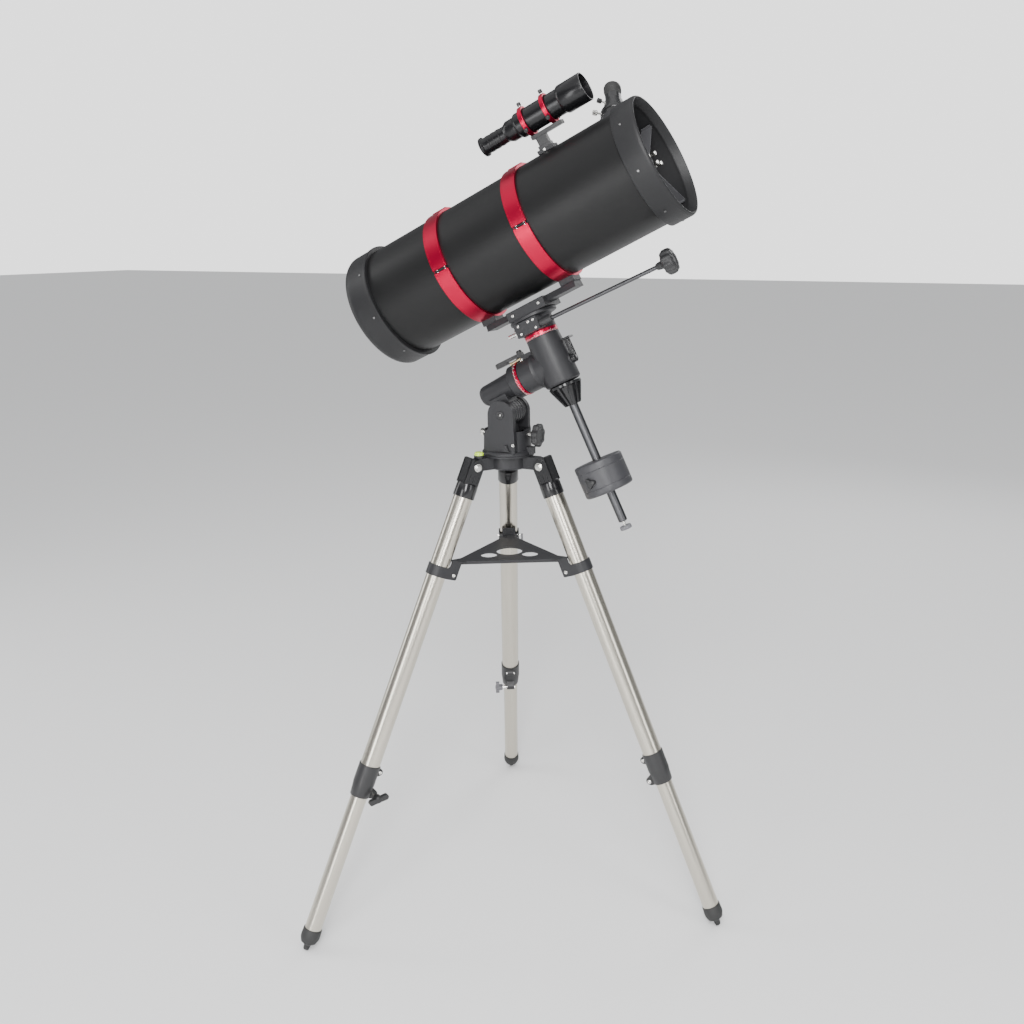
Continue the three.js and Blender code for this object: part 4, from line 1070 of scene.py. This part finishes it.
def make_finder_bracket():
    piece = Piece("finder_bracket", FINDER, "mount_paint", 0.5)
    axis = move(0, 0, FINDER_RADIUS)
    for x in FINDER_CLAMPS:
        piece.turned([(25.6, x - 4.5), (28.8, x - 4.5), (29.5, x - 3.8), (29.5, x + 3.8), (28.8, x + 4.5),
                      (25.6, x + 4.5), (25.6, x - 4.5)], 96, "red_anodised", axis @ ALONG_X)
        for angle in (0, 120, 240):
            at = move(x, 0, FINDER_RADIUS) @ turn("X", angle)
            piece.rod(2.2, 24.4, 33, "bright_steel", at, 20)
            piece.turned([(0, 31), (3.8, 31), (4.2, 32), (4.2, 37), (3.4, 38), (0, 38)], 40,
                         "black_plastic", at, lobes(12, 0.08))
    piece.block(304, 372, -9, 9, FINDER_RADIUS - 36, FINDER_RADIUS - 28.5, "finder_black")
    for x in FINDER_CLAMPS:
        piece.block(x - 4.5, x + 4.5, -8, 8, FINDER_RADIUS - 31, FINDER_RADIUS - 27.6, "finder_black")
    piece.block(311, 332, -8, 8, 122, FINDER_RADIUS - 35, "finder_black")
    piece.block(308, 334, -9, 9, 118, 127, "finder_black")
    piece.block(304, 338, -15, 15, 112.6, 120)
    piece.screw(move(320, -15, 117) @ turn("X", 90), 3, 2)
    return piece.finish()


for node, x in RING_PLACES.items():
    make_tube_ring(node, x)
for make in (make_main_tube, make_front_ring, make_rear_cell, make_primary, make_spider, make_secondary,
             make_focuser_body, make_drawtube, make_focus_knob, make_eyepiece, make_finder,
             make_finder_bracket):
    make()


# ---------- floor, light and camera ----------

def make_floor():
    bpy.ops.mesh.primitive_plane_add(size=FLOOR_SIZE, location=(0, 0, -FLOOR_DROP))
    floor = bpy.context.object
    floor.name = "floor"
    floor.data.materials.append(material("floor_paint", (0.86, 0.86, 0.86), 0.9))


def make_light(name, place, aim, size, power):
    data = bpy.data.lights.new(name, "AREA")
    data.shape = "RECTANGLE"
    data.size, data.size_y = size
    data.energy = power
    lamp = bpy.data.objects.new(name, data)
    bpy.context.collection.objects.link(lamp)
    lamp.location = place
    lamp.rotation_euler = (Vector(aim) - Vector(place)).to_track_quat("-Z", "Y").to_euler()


def make_sun():
    data = bpy.data.lights.new("top", "SUN")
    data.energy = SUN_STRENGTH
    data.angle = math.radians(SUN_SPREAD)
    lamp = bpy.data.objects.new("top", data)
    bpy.context.collection.objects.link(lamp)
    lamp.rotation_euler = (math.radians(SUN_TILT[0]), math.radians(SUN_TILT[1]), 0)


def make_world():
    """A pale backdrop that the camera sees, and a dimmer room that lights the pieces."""
    world = bpy.data.worlds.new("studio")
    bpy.context.scene.world = world
    world.use_nodes = True
    nodes = world.node_tree.nodes
    links = world.node_tree.links
    room = nodes["Background"]
    room.inputs["Color"].default_value = (0.95, 0.97, 1, 1)
    room.inputs["Strength"].default_value = ROOM_LIGHT
    backdrop = nodes.new("ShaderNodeBackground")
    backdrop.inputs["Strength"].default_value = BACKDROP
    path = nodes.new("ShaderNodeLightPath")
    mix = nodes.new("ShaderNodeMixShader")
    links.new(path.outputs["Is Camera Ray"], mix.inputs[0])
    links.new(room.outputs[0], mix.inputs[1])
    links.new(backdrop.outputs[0], mix.inputs[2])
    links.new(mix.outputs[0], nodes["World Output"].inputs["Surface"])


def make_camera():
    data = bpy.data.cameras.new("camera")
    data.sensor_width = CAMERA_SENSOR
    data.lens = CAMERA_LENS
    data.shift_x, data.shift_y = CAMERA_SHIFT
    data.clip_end = 100
    camera = bpy.data.objects.new("camera", data)
    bpy.context.collection.objects.link(camera)
    place = Matrix.Translation(WORLD @ Vector(CAMERA_PLACE))
    camera.matrix_world = place @ turn("Z", CAMERA_PAN) @ turn("X", 90 - CAMERA_DIP) @ turn("Z", CAMERA_ROLL)
    bpy.context.scene.camera = camera


make_floor()
make_world()
make_sun()
for light in LIGHTS:
    make_light(*light)
make_camera()
